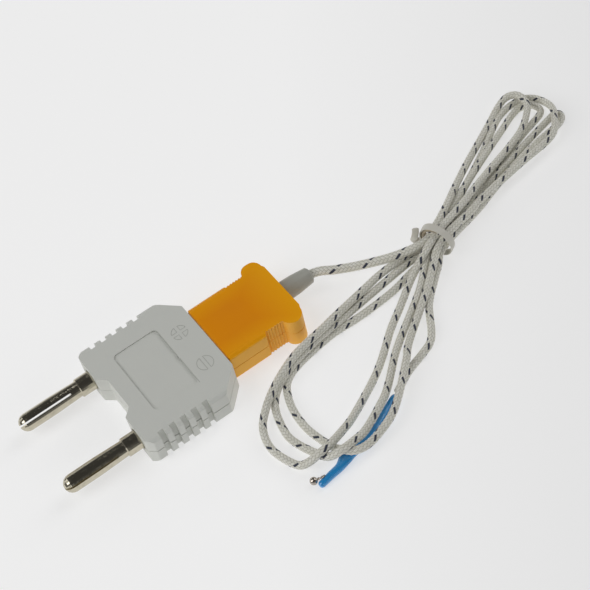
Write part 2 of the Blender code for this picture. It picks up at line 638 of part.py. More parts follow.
# Connector
def ear_arc():
    """The round ear of the +Y side, from the waist to the rear edge."""
    centre_x = REAR_X - 0.35 * MM - CONNECTOR_EAR_RADIUS
    centre_y = CONNECTOR_EAR_WIDTH / 2 - CONNECTOR_EAR_RADIUS
    waist = CONNECTOR_WAIST_WIDTH / 2
    start = math.degrees(math.asin((waist - centre_y) / CONNECTOR_EAR_RADIUS))
    angles = [180 - start + (start - 180) * i / 12 for i in range(13)]
    return [(centre_x + CONNECTOR_EAR_RADIUS * math.cos(math.radians(a)),
             centre_y + CONNECTOR_EAR_RADIUS * math.sin(math.radians(a)), 0.0) for a in angles]


def connector_outline():
    step_x = MATE_X + CONNECTOR_FRONT_LENGTH
    half = [
        (MATE_X, CONNECTOR_FRONT_WIDTH / 2, 0.4 * MM),
        (step_x, CONNECTOR_FRONT_WIDTH / 2, 0.0),
        (step_x + 0.35 * MM, CONNECTOR_WAIST_WIDTH / 2, 0.0),
        *ear_arc(),
        (REAR_X, CONNECTOR_EAR_WIDTH / 2 - 3.2 * MM, 0.4 * MM),
    ]
    return filleted(both_sides(half), 4)


def connector_section(name):
    """The block that the plan cuts: rounded along its edges, more at the front than at the ears."""
    step_x = MATE_X + CONNECTOR_FRONT_LENGTH
    ear_x = REAR_X - 2 * CONNECTOR_EAR_RADIUS
    front = (CONNECTOR_FRONT_WIDTH / 2 + CONNECTOR_EDGE_TRIM, CONNECTOR_EDGE)
    ears = (CONNECTOR_EAR_WIDTH / 2 + CONNECTOR_EDGE_TRIM, EAR_EDGE)
    bm = bmesh.new()
    rings = []
    for x, (half, radius) in ((MATE_X - MM, front), (step_x, front), (ear_x, ears),
                              (REAR_X + MM, ears)):
        corners = [(-half, 0.0, radius), (half, 0.0, radius), (half, THICKNESS, radius),
                   (-half, THICKNESS, radius)]
        rings.append([bm.verts.new((x, y, z)) for y, z in filleted(corners, 4)])
    join_rings(bm, rings)
    return mesh_object(name, bm)


def connector_ribs():
    first = MATE_X + CONNECTOR_FRONT_LENGTH + RIB_START
    rows = [first + i * RIB_PITCH for i in range(RIB_COUNT)]
    places = [(x, side * CONNECTOR_WAIST_WIDTH / 2) for x in rows for side in (1, -1)]
    return columns("waist_grooves", places, RIB_GROOVE_WIDTH / 2, RIB_GROOVE_DEPTH, -MM,
                   THICKNESS + MM)


def connector_hollow(pole):
    y = blade_y(pole)
    half = BLADE_WIDTH[pole] / 2 + GAP
    slot = box(pole + "_connector_slot", (MATE_X - MM, y - half, MID_Z - BLADE_THICKNESS / 2 - GAP),
               (MATE_X + BLADE_INSIDE + GAP, y + half, MID_Z + BLADE_THICKNESS / 2 + GAP))
    x = MATE_X + TERMINAL_X
    pocket = box(pole + "_terminal_pocket",
                 (x - TERMINAL_POCKET_LENGTH / 2, y - TERMINAL_POCKET_HALF_WIDTH,
                  MID_Z - TERMINAL_POCKET_HEIGHT / 2),
                 (x + TERMINAL_POCKET_LENGTH / 2, y + TERMINAL_POCKET_HALF_WIDTH,
                  MID_Z + TERMINAL_POCKET_HEIGHT / 2))
    return [slot, pocket]


def make_connector():
    yellow = plastic("connector_plastic", (0.72, 0.36, 0.01), 0.4)
    cutters = [connector_ribs()]
    for pole in SIDE:
        cutters += connector_hollow(pole)
    cutters += screw_hole("connector_screw", MATE_X + CONNECTOR_SCREW_X, 0.0)
    flange_x = REAR_X - BOOT_INSIDE
    start = MATE_X + TERMINAL_X + TERMINAL_POCKET_LENGTH / 2 - 0.2 * MM
    cutters.append(box("wire_chamber", (start, -WIRE_CHAMBER_HALF_WIDTH, MID_Z - WIRE_CHAMBER_HEIGHT / 2),
                       (flange_x, WIRE_CHAMBER_HALF_WIDTH, MID_Z + WIRE_CHAMBER_HEIGHT / 2)))
    cutters.append(rod("boot_flange_seat", BOOT_FLANGE_RADIUS + GAP, (flange_x - GAP, BOOT_Y, MID_Z),
                       (flange_x + BOOT_FLANGE_THICKNESS + GAP, BOOT_Y, MID_Z)))
    cutters.append(rod("boot_bore", BOOT_NECK_RADIUS + GAP, (flange_x, BOOT_Y, MID_Z),
                       (REAR_X + MM, BOOT_Y, MID_Z)))

    plan = prism("connector_plan", connector_outline(), -5 * MM, THICKNESS + 5 * MM)

    def block(name):
        obj = connector_section(name)
        combine(obj, plan, "INTERSECT")
        return obj

    split_shells("connector", block, cutters, yellow)


def make_blade(pole):
    y = blade_y(pole)
    half = BLADE_WIDTH[pole] / 2
    tip = MATE_X - BLADE_REACH
    outline = filleted([
        (tip, y - half, 0.6 * MM), (MATE_X + BLADE_INSIDE, y - half, 0.0),
        (MATE_X + BLADE_INSIDE, y + half, 0.0), (tip, y + half, 0.6 * MM)], 3)
    blade = prism("blade_" + pole, outline, MID_Z - BLADE_THICKNESS / 2, MID_Z + BLADE_THICKNESS / 2)
    x = MATE_X + TERMINAL_X
    hole_radius = min(TERMINAL_SHANK_RADIUS + GAP, half - GAP / 2)
    hole = rod(pole + "_blade_hole", hole_radius, (x, y, 0.0), (x, y, THICKNESS), 16)
    cut(blade, hole)
    finish_part(blade, metal("blade_alloy_" + pole, (0.60, 0.58, 0.52), 0.3))


def make_terminal_screw(pole):
    edge = 0.2 * MM
    shank = min(TERMINAL_SHANK_RADIUS, BLADE_WIDTH[pole] / 2 - 1.5 * GAP)
    total = TERMINAL_HEAD_HEIGHT + TERMINAL_SHANK_LENGTH
    profile = [
        (0.0, 0.0), (0.0, TERMINAL_HEAD_RADIUS - edge), (edge, TERMINAL_HEAD_RADIUS),
        (TERMINAL_HEAD_HEIGHT, TERMINAL_HEAD_RADIUS), (TERMINAL_HEAD_HEIGHT, shank),
        (total - edge, shank), (total, shank - edge), (total, 0.0)]
    screw = turned("terminal_screw_" + pole, profile, 16)
    x, y = MATE_X + TERMINAL_X, blade_y(pole)
    seat = MID_Z + BLADE_THICKNESS / 2 + GAP
    screw.location = (x, y, seat + TERMINAL_HEAD_HEIGHT)
    slot = box(pole + "_terminal_slot",
               (x - 2 * MM, y - 0.2 * MM, seat + 0.5 * MM), (x + 2 * MM, y + 0.2 * MM, seat + 3 * MM))
    cut(screw, slot)
    finish_part(screw, metal("terminal_brass_" + pole, (0.70, 0.60, 0.38), 0.3))


def poly_tube(name, points, radius, sides_level=2):
    """A closed tube of round section along a list of points."""
    curve = bpy.data.curves.new(name, "CURVE")
    curve.dimensions = "3D"
    curve.bevel_depth = radius
    curve.bevel_resolution = sides_level
    curve.use_fill_caps = True
    spline = curve.splines.new("POLY")
    spline.points.add(len(points) - 1)
    for point, place in zip(spline.points, points):
        point.co = (*place, 1.0)
    obj = bpy.data.objects.new(name, curve)
    PARTS.objects.link(obj)
    return obj


def smooth_points(route, spans):
    """Points of a smooth curve through the route, with `spans` steps between neighbours."""
    route = [Vector(p) for p in route]
    ends = [2 * route[0] - route[1]] + route + [2 * route[-1] - route[-2]]
    points = []
    for i in range(1, len(ends) - 2):
        a, b, c, d = ends[i - 1:i + 3]
        for step in range(spans):
            t = step / spans
            points.append(0.5 * (2 * b + (c - a) * t + (2 * a - 5 * b + 4 * c - d) * t ** 2
                                 + (3 * b - 3 * c + d - a) * t ** 3))
    return points + [route[-1]]


def from_front(x, y, z):
    """A route point in millimetres from the connector's front, in metres from the origin."""
    return Vector((MATE_X + x * MM, y * MM, z * MM))


def tie_frame():
    """The ring's centre, the bundle's direction and its left."""
    turn = math.radians(TIE_TURN)
    centre = from_front(*TIE_CENTRE, 0.0)
    centre.z = TIE_INNER_RADIUS + TIE_THICKNESS + 0.05 * MM
    return (centre, Vector((math.cos(turn), math.sin(turn), 0.0)),
            Vector((-math.sin(turn), math.cos(turn), 0.0)))


def tie_passes():
    """The two ends of each strand's straight stretch through the tie, in cord order."""
    centre, along, left = tie_frame()
    passes = []
    for i, angle in enumerate(PASS_ANGLES):
        middle = centre - Vector((0.0, 0.0, BUNDLE_DROP))
        if angle is not None:
            turn = math.radians(angle)
            middle += BUNDLE_RADIUS * (left * math.cos(turn) + Vector((0, 0, math.sin(turn))))
        way = along * PASS_HALF * (1 if i % 2 == 0 else -1)
        passes.append([middle - way, middle + way])
    return passes


def thinned(points, tolerance):
    """The points without those that lie within the tolerance of the chord between others."""
    first, last = points[0], points[-1]
    chord = last - first
    worst, at = 0.0, 0
    for i in range(1, len(points) - 1):
        part = max(0.0, min(1.0, (points[i] - first).dot(chord) / chord.length_squared))
        away = (points[i] - first - chord * part).length
        if away > worst:
            worst, at = away, i
    if worst <= tolerance:
        return [first, last]
    return thinned(points[:at + 1], tolerance)[:-1] + thinned(points[at:], tolerance)


def cord_points():
    """The cord's centreline from the connector to the sleeve, straight where it passes the tie."""
    start_x = REAR_X - CORD_INSIDE
    route = [Vector((start_x, BOOT_Y, MID_Z)), Vector((BOOT_END_X, BOOT_Y, MID_Z))]
    fixed = [0, 1]
    for run, strand in zip(CORD_RUNS, tie_passes() + [[]]):
        route += [from_front(*point) for point in run]
        fixed += range(len(route), len(route) + len(strand))
        route += strand
    fixed.append(len(route) - 1)
    smooth = smooth_points(route, STEP_COUNT)
    for point in smooth:
        point.z = max(point.z, CORD_DIAMETER / 2)
    points = [smooth[0]]
    for a, b in zip(fixed, fixed[1:]):
        stretch = smooth[a * STEP_COUNT:b * STEP_COUNT + 1]
        points += thinned(stretch, CORD_TOLERANCE)[1:]
    return points


def make_cord():
    cord = poly_tube("cord", cord_points(), CORD_DIAMETER / 2)
    cord.data.materials.append(plastic("cord_braid", (0.52, 0.51, 0.46), 0.8))


def make_tie():
    """A ribbon ring with a twisted tail that stands at its left."""
    centre, along, left = tie_frame()
    inner, outer = TIE_INNER_RADIUS, TIE_INNER_RADIUS + TIE_THICKNESS
    half = TIE_WIDTH / 2
    ring = turned("tie_band", [(-half, inner), (-half, outer), (half, outer), (half, inner),
                               (-half, inner)], 40)
    ring.rotation_euler = (0.0, math.pi / 2, math.radians(TIE_TURN))
    ring.location = centre
    tail = [(3.9, 0.5, 0.0), (4.4, 0.1, -1.2), (4.8, 0.8, -1.9), (4.8, 2.0, -1.7),
            (4.6, 3.1, -1.4)]
    route = [centre + (left * u + Vector((0, 0, w)) + along * s) * MM for u, w, s in tail]
    stub = poly_tube("tie_tail", smooth_points(route, 3), TIE_TAIL_RADIUS)
    PARTS.objects.unlink(stub)
    CUTTERS.objects.link(stub)
    combine(ring, curve_to_mesh(stub, "tie_tail"), "UNION")
    finish_part(ring, plastic("tie_ribbon", (0.48, 0.46, 0.41), 0.5))


def make_sleeve():
    """The cord's blue end sleeve: one tube whose radius follows what is inside it."""
    route = [from_front(*point) for point in SLEEVE_ROUTE]
    sleeve = poly_tube("tip_sleeve", route, MM)
    for point, radius in zip(sleeve.data.splines[0].points, SLEEVE_RADII):
        point.radius = radius
    sleeve.data.materials.append(plastic("sleeve_plastic", (0.02, 0.16, 0.45), 0.25))


def make_bead():
    """The bead and the two bare wires that join it to the sleeve's end."""
    centre = from_front(*BEAD_CENTRE)
    bm = bmesh.new()
    bmesh.ops.create_uvsphere(bm, u_segments=20, v_segments=12, radius=BEAD_RADIUS)
    bead = mesh_object("bead", bm)
    bead.location = centre
    finish_part(bead, metal("bead_metal", (0.55, 0.52, 0.48), 0.15))
    end = from_front(*SLEEVE_ROUTE[-1])
    for pole, offset in (("positive", Vector((0.0, 0.35 * MM, 0.25 * MM))),
                         ("negative", Vector((0.0, -0.3 * MM, -0.15 * MM)))):
        start = end + Vector((-GAP - TIP_WIRE_RADIUS, 0.0, 0.0)) + offset
        way = (centre + offset * 0.6 - start).normalized()
        stop = centre + offset * 0.6 - way * (BEAD_RADIUS + GAP)
        wire = poly_tube("tip_wire_" + pole, [start, (start + stop) / 2, stop], TIP_WIRE_RADIUS, 1)
        wire.data.materials.append(metal("tip_alloy_" + pole, (0.50, 0.46, 0.42), 0.3))


def make_boot():
    bore = CORD_DIAMETER / 2 + GAP
    flange_x = REAR_X - BOOT_INSIDE
    length = BOOT_END_X - flange_x
    outside = BOOT_LENGTH - GAP
    edge = 0.35 * MM
    profile = [
        (0.0, bore), (0.0, BOOT_END_RADIUS - edge), (edge, BOOT_END_RADIUS),
        (outside * 0.55, (BOOT_BASE_RADIUS + BOOT_END_RADIUS) / 2 + 0.15 * MM),
        (outside, BOOT_BASE_RADIUS), (outside, BOOT_NECK_RADIUS),
        (length - BOOT_FLANGE_THICKNESS, BOOT_NECK_RADIUS),
        (length - BOOT_FLANGE_THICKNESS, BOOT_FLANGE_RADIUS),
        (length, BOOT_FLANGE_RADIUS), (length, bore), (0.0, bore)]
    boot = turned("strain_relief", profile)
    boot.rotation_euler = (0.0, math.pi / 2, 0.0)
    boot.location = (BOOT_END_X, BOOT_Y, MID_Z)
    finish_part(boot, material("boot_rubber", (0.26, 0.26, 0.23), 0.55))


def make_wire(pole):
    """One bare conductor, from the cord's end to its terminal screw."""
    side = SIDE[pole]
    start = REAR_X - CORD_INSIDE - GAP
    screw_x = MATE_X + TERMINAL_X
    y = blade_y(pole)
    z = MID_Z + BLADE_THICKNESS / 2 + 2 * GAP + WIRE_RADIUS
    route = [
        (start, BOOT_Y + side * 0.45 * MM, MID_Z),
        (start - 0.8 * MM, BOOT_Y + side * 0.6 * MM, MID_Z),
        (start - 2.2 * MM, (BOOT_Y + y) / 2 + side * 0.4 * MM, MID_Z + 0.6 * MM),
        (screw_x + TERMINAL_HEAD_RADIUS + 1.2 * MM, y * 0.95, z),
        (screw_x + TERMINAL_HEAD_RADIUS + GAP, y, z)]
    wire = poly_tube("wire_" + pole, smooth_points(route, 3), WIRE_RADIUS, 1)
    wire.data.materials.append(metal("wire_alloy_" + pole, (0.62, 0.58, 0.50), 0.35))


make_adapter()
make_housing_screw("adapter_screw", FACE_X + ADAPTER_SCREW_FROM_FACE, 0.0)
make_connector()
make_housing_screw("connector_screw", MATE_X + CONNECTOR_SCREW_X, 0.0)
make_boot()
make_cord()
make_tie()
make_sleeve()
make_bead()
for POLE in SIDE:
    make_pin(POLE)
    make_contact(POLE)
    make_pin_nut(POLE)
    make_blade(POLE)
    make_terminal_screw(POLE)
    make_wire(POLE)
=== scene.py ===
"""Looks for the temperature probe: a grey two-pin adapter, an amber connector and a tied braided cord.

Lengths are in metres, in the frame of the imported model: +X from the pins to the cord, +Y on the
positive pin's side, +Z up, the floor at z = 0.
"""

import math

import bmesh
import bpy
import numpy as np
from mathutils import Matrix, Vector


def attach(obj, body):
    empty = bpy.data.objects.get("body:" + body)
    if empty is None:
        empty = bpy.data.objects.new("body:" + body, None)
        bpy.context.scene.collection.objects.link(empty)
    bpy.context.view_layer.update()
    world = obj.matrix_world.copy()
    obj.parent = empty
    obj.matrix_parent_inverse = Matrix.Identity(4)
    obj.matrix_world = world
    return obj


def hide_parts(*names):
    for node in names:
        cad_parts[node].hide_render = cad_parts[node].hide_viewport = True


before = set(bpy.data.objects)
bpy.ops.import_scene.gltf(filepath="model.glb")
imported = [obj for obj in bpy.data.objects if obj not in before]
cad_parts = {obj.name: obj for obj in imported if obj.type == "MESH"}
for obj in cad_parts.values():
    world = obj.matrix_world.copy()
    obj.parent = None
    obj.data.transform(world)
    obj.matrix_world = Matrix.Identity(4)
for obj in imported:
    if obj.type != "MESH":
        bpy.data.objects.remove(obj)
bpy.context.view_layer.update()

MM = 0.001

# Sizes shared with the CAD model
MATE_X = 8.0 * MM                   # the connector's front
MID_Z = 3.95 * MM                   # the housings' parting plane
REAR_X = 27.05 * MM                 # the connector's rear
BOOT_END_X = 34.55 * MM
BOOT_Y = 1.05 * MM
CORD_DIAMETER = 1.9 * MM
CORD_INSIDE = 4.2 * MM              # how far the cord starts inside the connector
FLOOR_RUN_Z = CORD_DIAMETER / 2     # the cord's middle where it lies on the floor

# The camera stands where the photograph's camera stood
CAMERA_PLACE = (-0.05558, -0.19953, 0.28725)
CAMERA_RIGHT = (0.80877089, -0.56716184, -0.15561845)
CAMERA_UP = (0.53806121, 0.60672562, 0.58512747)
CAMERA_FORWARD = (0.23744427, 0.55696631, -0.79586981)
CAMERA_SENSOR = 36.0                # millimetres
CAMERA_LENS = 101.395               # millimetres
CAMERA_NEAR = 0.01

# The tie: its place in millimetres from the connector's front, then sizes in metres
TIE_CENTRE = (52.8, -9.93)
TIE_TURN = 21.9                     # degrees from +X to the bundle's direction
TIE_INNER_RADIUS = 3.7 * MM
TIE_THICKNESS = 0.4 * MM
TIE_CLEARANCE = 0.05 * MM           # between the tie and the floor
TIE_STEPS = 72
RIBBON_WIDTH = 1.7 * MM
RIBBON_THICKNESS = 0.26 * MM
RIBBON_CORNERS = 4                  # steps round each edge
RIBBON_LEAN = (0.10, 0.04)          # how far the ribbon tilts as it goes round, and its ripple
RIBBON_WAVE = 0.05 * MM

# The strands in the tie: angles round the bundle in degrees, in cord order, None for the middle one
BUNDLE_DROP = 0.4 * MM
BUNDLE_RADIUS = 2.1 * MM
PASS_HALF = 2.4 * MM
PASS_ANGLES = (40, 91, 349, None, 297, 143, 246, 194)

# The ribbon's start, folded inside the ring and dark with painted shade between the ring and the
# strands
FOLD_ARC = (-25, 100)               # degrees up from the bundle's left
FOLD_STEPS = 16
FOLD_HALF_WIDTH = 0.70 * MM
FOLD_HALF_THICKNESS = 0.39 * MM
FOLD_INSET = 0.62 * MM
FOLD_WAVE = 0.1 * MM
FOLD_WAVES = 2.2

# The folded end: to the bundle's left, up, along it in millimetres, and its twist in degrees
TAIL_ROUTE = ((3.7, -1.0, -0.3, -10), (4.6, -2.1, -0.8, -30), (5.2, -1.5, -1.4, -60),
              (4.75, -0.2, -1.65, -66), (4.45, 1.0, -1.6, -63), (4.3, 2.2, -1.5, -63),
              (4.3, 3.1, -1.4, -50))
TAIL_SPANS = 4
TAIL_HALF_WIDTH = 0.75 * MM
TAIL_END_NARROWING = 0.6

# The cord's route between its passes through the tie, in millimetres from the connector's front
CORD_RUNS = (
    ((31.5, -1.3, 3.6), (36.0, -3.6, 3.3), (43.2, -7.6, 4.4)),
    ((60.1, -4.2, 4.6), (65.0, -0.7, 3.6), (71.7, 3.8, 2.2), (77.4, 7.1, 1.5), (83.5, 10.4, 1.3),
     (87.7, 12.5, 1.8), (90.7, 13.0, 2.6), (92.6, 11.7, 3.0), (93.0, 9.5, 3.0), (92.0, 7.0, 3.0),
     (87.2, 3.1, 2.9), (81.6, 0.8, 2.9), (72.5, -2.2, 3.3), (62.2, -6.7, 5.3)),
    ((47.3, -12.1, 5.0), (42.8, -13.5, 2.4), (36.2, -17.5, 1.0), (32.2, -20.1, 1.0),
     (23.6, -26.8, 1.0), (13.4, -32.6, 1.6), (8.8, -34.9, 3.0), (5.1, -36.5, 4.3),
     (2.2, -36.9, 4.3), (-0.3, -36.2, 2.6), (-2.3, -34.3, 1.1), (-4.1, -28.4, 1.0),
     (-3.2, -23.6, 1.2), (-0.7, -20.6, 2.1), (4.3, -17.3, 3.3), (11.6, -14.6, 4.8),
     (20.3, -12.7, 4.5), (24.9, -11.5, 4.1), (34.0, -9.4, 3.3), (38.6, -8.5, 3.1),
     (46.6, -8.2, 3.0)),
    ((61.7, -4.3, 3.1), (69.4, -0.4, 2.9), (78.2, 3.9, 2.1), (85.4, 7.5, 1.0), (88.6, 8.9, 1.0),
     (91.6, 9.6, 1.0), (94.0, 8.6, 1.0), (94.8, 6.8, 1.0), (94.0, 5.0, 1.0), (88.1, 3.2, 1.0),
     (77.9, -0.1, 1.0), (73.3, -1.4, 1.3), (63.2, -5.9, 3.0)),
    ((47.2, -13.0, 3.4), (42.4, -17.0, 2.4), (36.7, -20.5, 1.2), (29.8, -25.2, 1.0),
     (23.1, -31.3, 1.5), (19.4, -34.3, 2.6), (12.8, -37.8, 3.1), (9.2, -38.9, 4.1),
     (5.9, -39.5, 4.9), (3.6, -38.4, 3.4), (2.5, -36.1, 2.1), (0.7, -30.5, 1.0),
     (0.3, -26.3, 1.0), (2.5, -19.5, 1.2), (7.6, -15.9, 2.5), (16.0, -13.5, 2.9),
     (24.9, -12.1, 2.4), (29.7, -11.2, 1.9), (38.6, -10.0, 1.8), (46.0, -9.3, 1.9)),
    ((61.1, -3.5, 1.4), (69.3, 0.5, 1.0), (76.8, 4.7, 1.0), (86.4, 10.6, 1.0), (92.8, 11.5, 1.0),
     (95.6, 9.8, 1.1), (96.5, 7.1, 1.6), (96.2, 3.6, 2.7), (94.6, 0.7, 3.0), (90.4, -3.2, 2.9),
     (80.0, -4.7, 2.9), (67.9, -6.8, 3.2), (63.1, -8.6, 4.0)),
    ((48.9, -14.0, 4.4), (45.2, -16.9, 3.2), (40.3, -20.3, 2.1), (34.1, -24.6, 1.3),
     (31.3, -27.2, 2.1), (29.0, -29.9, 2.95), (20.3, -37.5, 2.9), (13.7, -40.3, 2.9),
     (9.8, -40.9, 3.2), (7.5, -40.0, 3.3), (6.6, -38.6, 3.0), (5.5, -35.5, 1.5), (4.2, -27.7, 1.0),
     (5.5, -20.2, 1.0), (9.6, -15.4, 1.0), (20.7, -13.1, 1.0), (29.1, -13.2, 1.0),
     (38.4, -12.6, 1.0), (46.4, -11.0, 1.2)),
    ((62.3, -5.6, 1.2), (66.5, -4.4, 1.0), (75.3, -2.3, 1.0), (87.2, 0.7, 1.0), (92.3, 1.9, 1.0),
     (96.2, 2.7, 1.0), (97.2, 1.6, 1.0), (96.2, 0.3, 1.0), (93.4, -0.5, 1.0), (87.4, -1.3, 1.0),
     (75.0, -4.3, 1.0), (66.2, -7.2, 1.0)),
    ((50.0, -13.9, 2.2), (47.3, -15.9, 1.2), (42.2, -20.4, 1.0), (38.3, -26.2, 1.0),
     (36.2, -28.4, 1.0), (33.1, -29.6, 1.0), (28.0, -31.3, 1.0), (23.5, -33.8, 0.95)),
)
ROUTE_SPANS = 12                    # curve steps between neighbouring route points
ROUTE_SOFTENING = 6                 # steps each way over which the route is averaged

# The sleeve and the wires at the cord's end
SLEEVE_ROUTE = (
    (23.1, -34.1, 0.95), (20.8, -35.1, 0.95), (18.5, -36.2, 0.95), (16.1, -37.4, 0.95),
    (13.7, -38.4, 0.95), (10.8, -39.0, 1.0), (8.1, -39.2, 1.1), (6.0, -39.6, 1.2),
    (4.1, -40.3, 1.05), (2.0, -40.6, 1.0), (0.0, -40.9, 0.92), (-1.5, -41.15, 0.85))
SLEEVE_HALF_WIDTHS = (0.95, 0.95, 0.95, 0.95, 0.95, 1.0, 1.15, 1.35, 1.0, 0.9, 0.84, 0.8)
SLEEVE_HALF_HEIGHTS = (0.9, 0.9, 0.9, 0.9, 0.9, 0.85, 0.8, 0.75, 0.85, 0.85, 0.82, 0.78)
SLEEVE_SPANS = 8
SLEEVE_CORNERS = 28
SLEEVE_END_STEPS = 4                # steps over which each end rounds off
SLEEVE_END_ROUNDING = 0.75
WIRE_ROUTE = ((-1.5, -39.6, 1.2), (-0.9, -40.0, 1.6), (-0.3, -40.3, 1.85), (0.5, -40.3, 1.95))
WIRE_SPREAD = 0.13 * MM
WIRE_HALF = 0.15 * MM
WIRE_SPANS = 6
WIRE_CORNERS = 10
WIRE_TURNS = 1.3

# Marks and lines on the adapter's top
TOP_Z = 7.9 * MM
MARK_X = 3.6 * MM
PLUS_Y = 4.4 * MM
BAR_Y = -5.7 * MM
MARK_RADIUS = 1.8 * MM
MARK_BAR_HALF = 0.42 * MM
MARK_LINE = 0.14 * MM
MARK_STEPS = 12                     # steps in a quarter of a mark's ring
MARK_FOOT = 0.02 * MM               # how far the marks' lines go into the top
MARK_RISE = 0.03 * MM
PANEL_HIGH_X = 0.05 * MM
PANEL_HALF_WIDTH = 8.7 * MM
PANEL_CORNER = 1.0 * MM
PANEL_CORNER_STEPS = 6
PANEL_DEPTH = 0.3 * MM
PANEL_LINE = 0.17 * MM
PANEL_RISE = 0.015 * MM
PANEL_JOG = ((0.04, -9.0), (0.04, -1.3), (-0.25, -0.8), (0.0, 0.1))   # millimetres from its high x

# Where painted glow turns the amber plastic yellower: distances from its middle
GLOW_X = 14.0 * MM
GLOW_HALF_LENGTH = 13.0 * MM
GLOW_HALF_WIDTH = 9.8 * MM

# The tongues in the housings' parting seams
SEAM_LIP = 0.21 * MM
CONNECTOR_SEAM_INSET = 0.07 * MM
ADAPTER_SEAM_INSET = 0.16 * MM

# The lip in the seam between the housings, its amber a painted glow of light bounced from the
# connector
LIP_LOW_X = 7.73 * MM
LIP_HIGH_X = 7.99 * MM
LIP_HALF_WIDTH = 8.28 * MM
LIP_HALF_HEIGHT = 3.85 * MM
LIP_CORNER = 1.5 * MM
LIP_CORNER_STEPS = 6

# Light: sky brightness by the sine of its height, lamps as place, size and watts
HORIZON = 0.16
ZENITH = 0.05
SKY_STEPS = ((0.28, 0.16), (0.33, 1.3), (0.365, 1.3), (0.375, 0.12), (0.395, 0.12), (0.405, 1.3),
             (0.45, 1.3), (0.50, 0.06))
LAMPS = (("left_lamp", (-0.75, 0.05, 0.75), (0.7, 0.9), 4.7),
         ("right_lamp", (0.85, 0.10, 0.70), (0.5, 0.9), 3.0),
         ("strip_lamp", (0.30, 0.25, 0.85), (0.5, 0.02), 0.14))
FLOOR_SIZE = 1.2
FLOOR_GREY = 0.42
FLOOR_SHADE = (0.02, 0.13, 0.585, 0.47)   # from, to along the picture's width, then glow there

# The braid: eight yarns wound each way, each over two and under two of the others
BRAID_PITCH = 7.3 * MM
BRAID_YARNS = 8
BRAID_END_CELL = (0.5, 0.5)         # the part of the braid map that the cord's ends show
MARKER_ROW = 6.0                    # which of the eight yarns is dark
MARKER_REACH = 0.3                  # how far it shows past each end of its crossing, in yarns
MARKER_HALF_WIDTH = 0.45            # in yarns
CORD_HALF_WIDTH = 1.02 * MM
CORD_HALF_HEIGHT = 0.88 * MM
YARN_RELIEF = 0.07 * MM
CREST_SHARE = 1.15                  # of the relief, midway over the two yarns that a yarn crosses
DIVE_SHARE = 0.25                   # of the relief, where it dives
# The cord is plump beside the boot, slimmer in its loops and slimmest beyond the tie
LOOP_FROM = 28.0 * MM
LOOP_TO = 55.0 * MM
LOOP_HALF_WIDTH = 0.80 * MM
TIGHT_FROM = 60.0 * MM
TIGHT_TO = 90.0 * MM
TIGHT_HALF_WIDTH = 0.73 * MM

# Yarn colours: two pale ones, then painted shade for the fibres, the gaps, the split in a yarn and the
# dips, then the dark yarn
YARN_PALE = (0.86, 0.85, 0.76, 1)
YARN_PALEST = (0.97, 0.96, 0.90, 1)
PAINTED_FIBRE_SHADE = (0.66, 0.64, 0.54, 1)
PAINTED_GAP_SHADE = (0.42, 0.40, 0.33, 1)
PAINTED_SPLIT_SHADE = (0.46, 0.44, 0.36, 1)
PAINTED_DIP_SHADE = (0.43, 0.41, 0.33, 1)
MARKER_DARK = (0.012, 0.016, 0.035, 1)
MARKER_LIGHT = (0.05, 0.06, 0.10, 1)
FIBRE_SCALE = (7.0, 1.1, 5.0)       # across a yarn, along it and from yarn to yarn
FIBRE_RELIEF = 0.35
SPLIT_RELIEF = 0.45
BRAID_BUMP = 0.05 * MM
PATTERN_TURN = 4.0                  # yarns in one over and under of a yarn

# Patterns in plastic and metal: noise scales to the metre, and reliefs
CLOUD_SCALE = 140.0
GRAIN_SCALE = 2600.0
GRAIN_RELIEF = 0.012 * MM
GRAIN_RELIEF_SMOOTH = 0.002 * MM
POLISH_SCALE = (60.0, 1400.0, 1400.0)
TURNING_SCALE = (5200.0, 260.0, 260.0)
TURNING_WEIGHT = 1.8
SPOT_SCALE = 900.0
DULL_SHARE = 0.82
METAL_RELIEF = 0.004 * MM


# Camera

def make_camera():
    data = bpy.data.cameras.new("camera")
    data.sensor_width = CAMERA_SENSOR
    data.lens = CAMERA_LENS
    data.clip_start = CAMERA_NEAR
    camera = bpy.data.objects.new("camera", data)
    right, up, forward = (Vector(v) for v in (CAMERA_RIGHT, CAMERA_UP, CAMERA_FORWARD))
    turn = Matrix((right, up, -forward)).transposed()
    camera.matrix_world = Matrix.Translation(CAMERA_PLACE) @ turn.to_4x4()
    bpy.context.scene.collection.objects.link(camera)
    bpy.context.scene.camera = camera


# Materials

def new_material(name, **values):
    """A Principled material with these values on the shader's own sockets."""
    mat = bpy.data.materials.new(name)
    mat.use_nodes = True
    shader = mat.node_tree.nodes["Principled BSDF"]
    for key, value in values.items():
        shader.inputs[key.replace("_", " ")].default_value = value
    return mat


def add(mat, kind, inputs=(), **settings):
    """A node; its inputs take numbers, colours or other nodes' outputs."""
    node = mat.node_tree.nodes.new(kind)
    for key, value in settings.items():
        setattr(node, key, value)
    for key, value in dict(inputs).items():
        if isinstance(value, bpy.types.NodeSocket):
            mat.node_tree.links.new(value, node.inputs[key])
        else:
            node.inputs[key].default_value = value
    return node


def maths(mat, operation, *values):
    """The output of a Math node."""
    return add(mat, "ShaderNodeMath", enumerate(values), operation=operation).outputs[0]


def mixed(mat, factor, a, b):
    """The output of a colour mix."""
    node = add(mat, "ShaderNodeMix", {0: factor, 6: a, 7: b}, data_type="RGBA")
    return node.outputs[2]


def noise(mat, vector, scale, detail=3.0, roughness=0.5):
    return add(mat, "ShaderNodeTexNoise",
               {"Vector": vector, "Scale": scale, "Detail": detail, "Roughness": roughness}
               ).outputs["Fac"]


def spread_to(mat, value, low, high, to_low, to_high):
    """A value mapped from one range to another, clamped."""
    return add(mat, "ShaderNodeMapRange", {0: value, 1: low, 2: high, 3: to_low, 4: to_high}
               ).outputs[0]


def place(mat):
    """The point on the piece, in metres."""
    return add(mat, "ShaderNodeTexCoord").outputs["Object"]


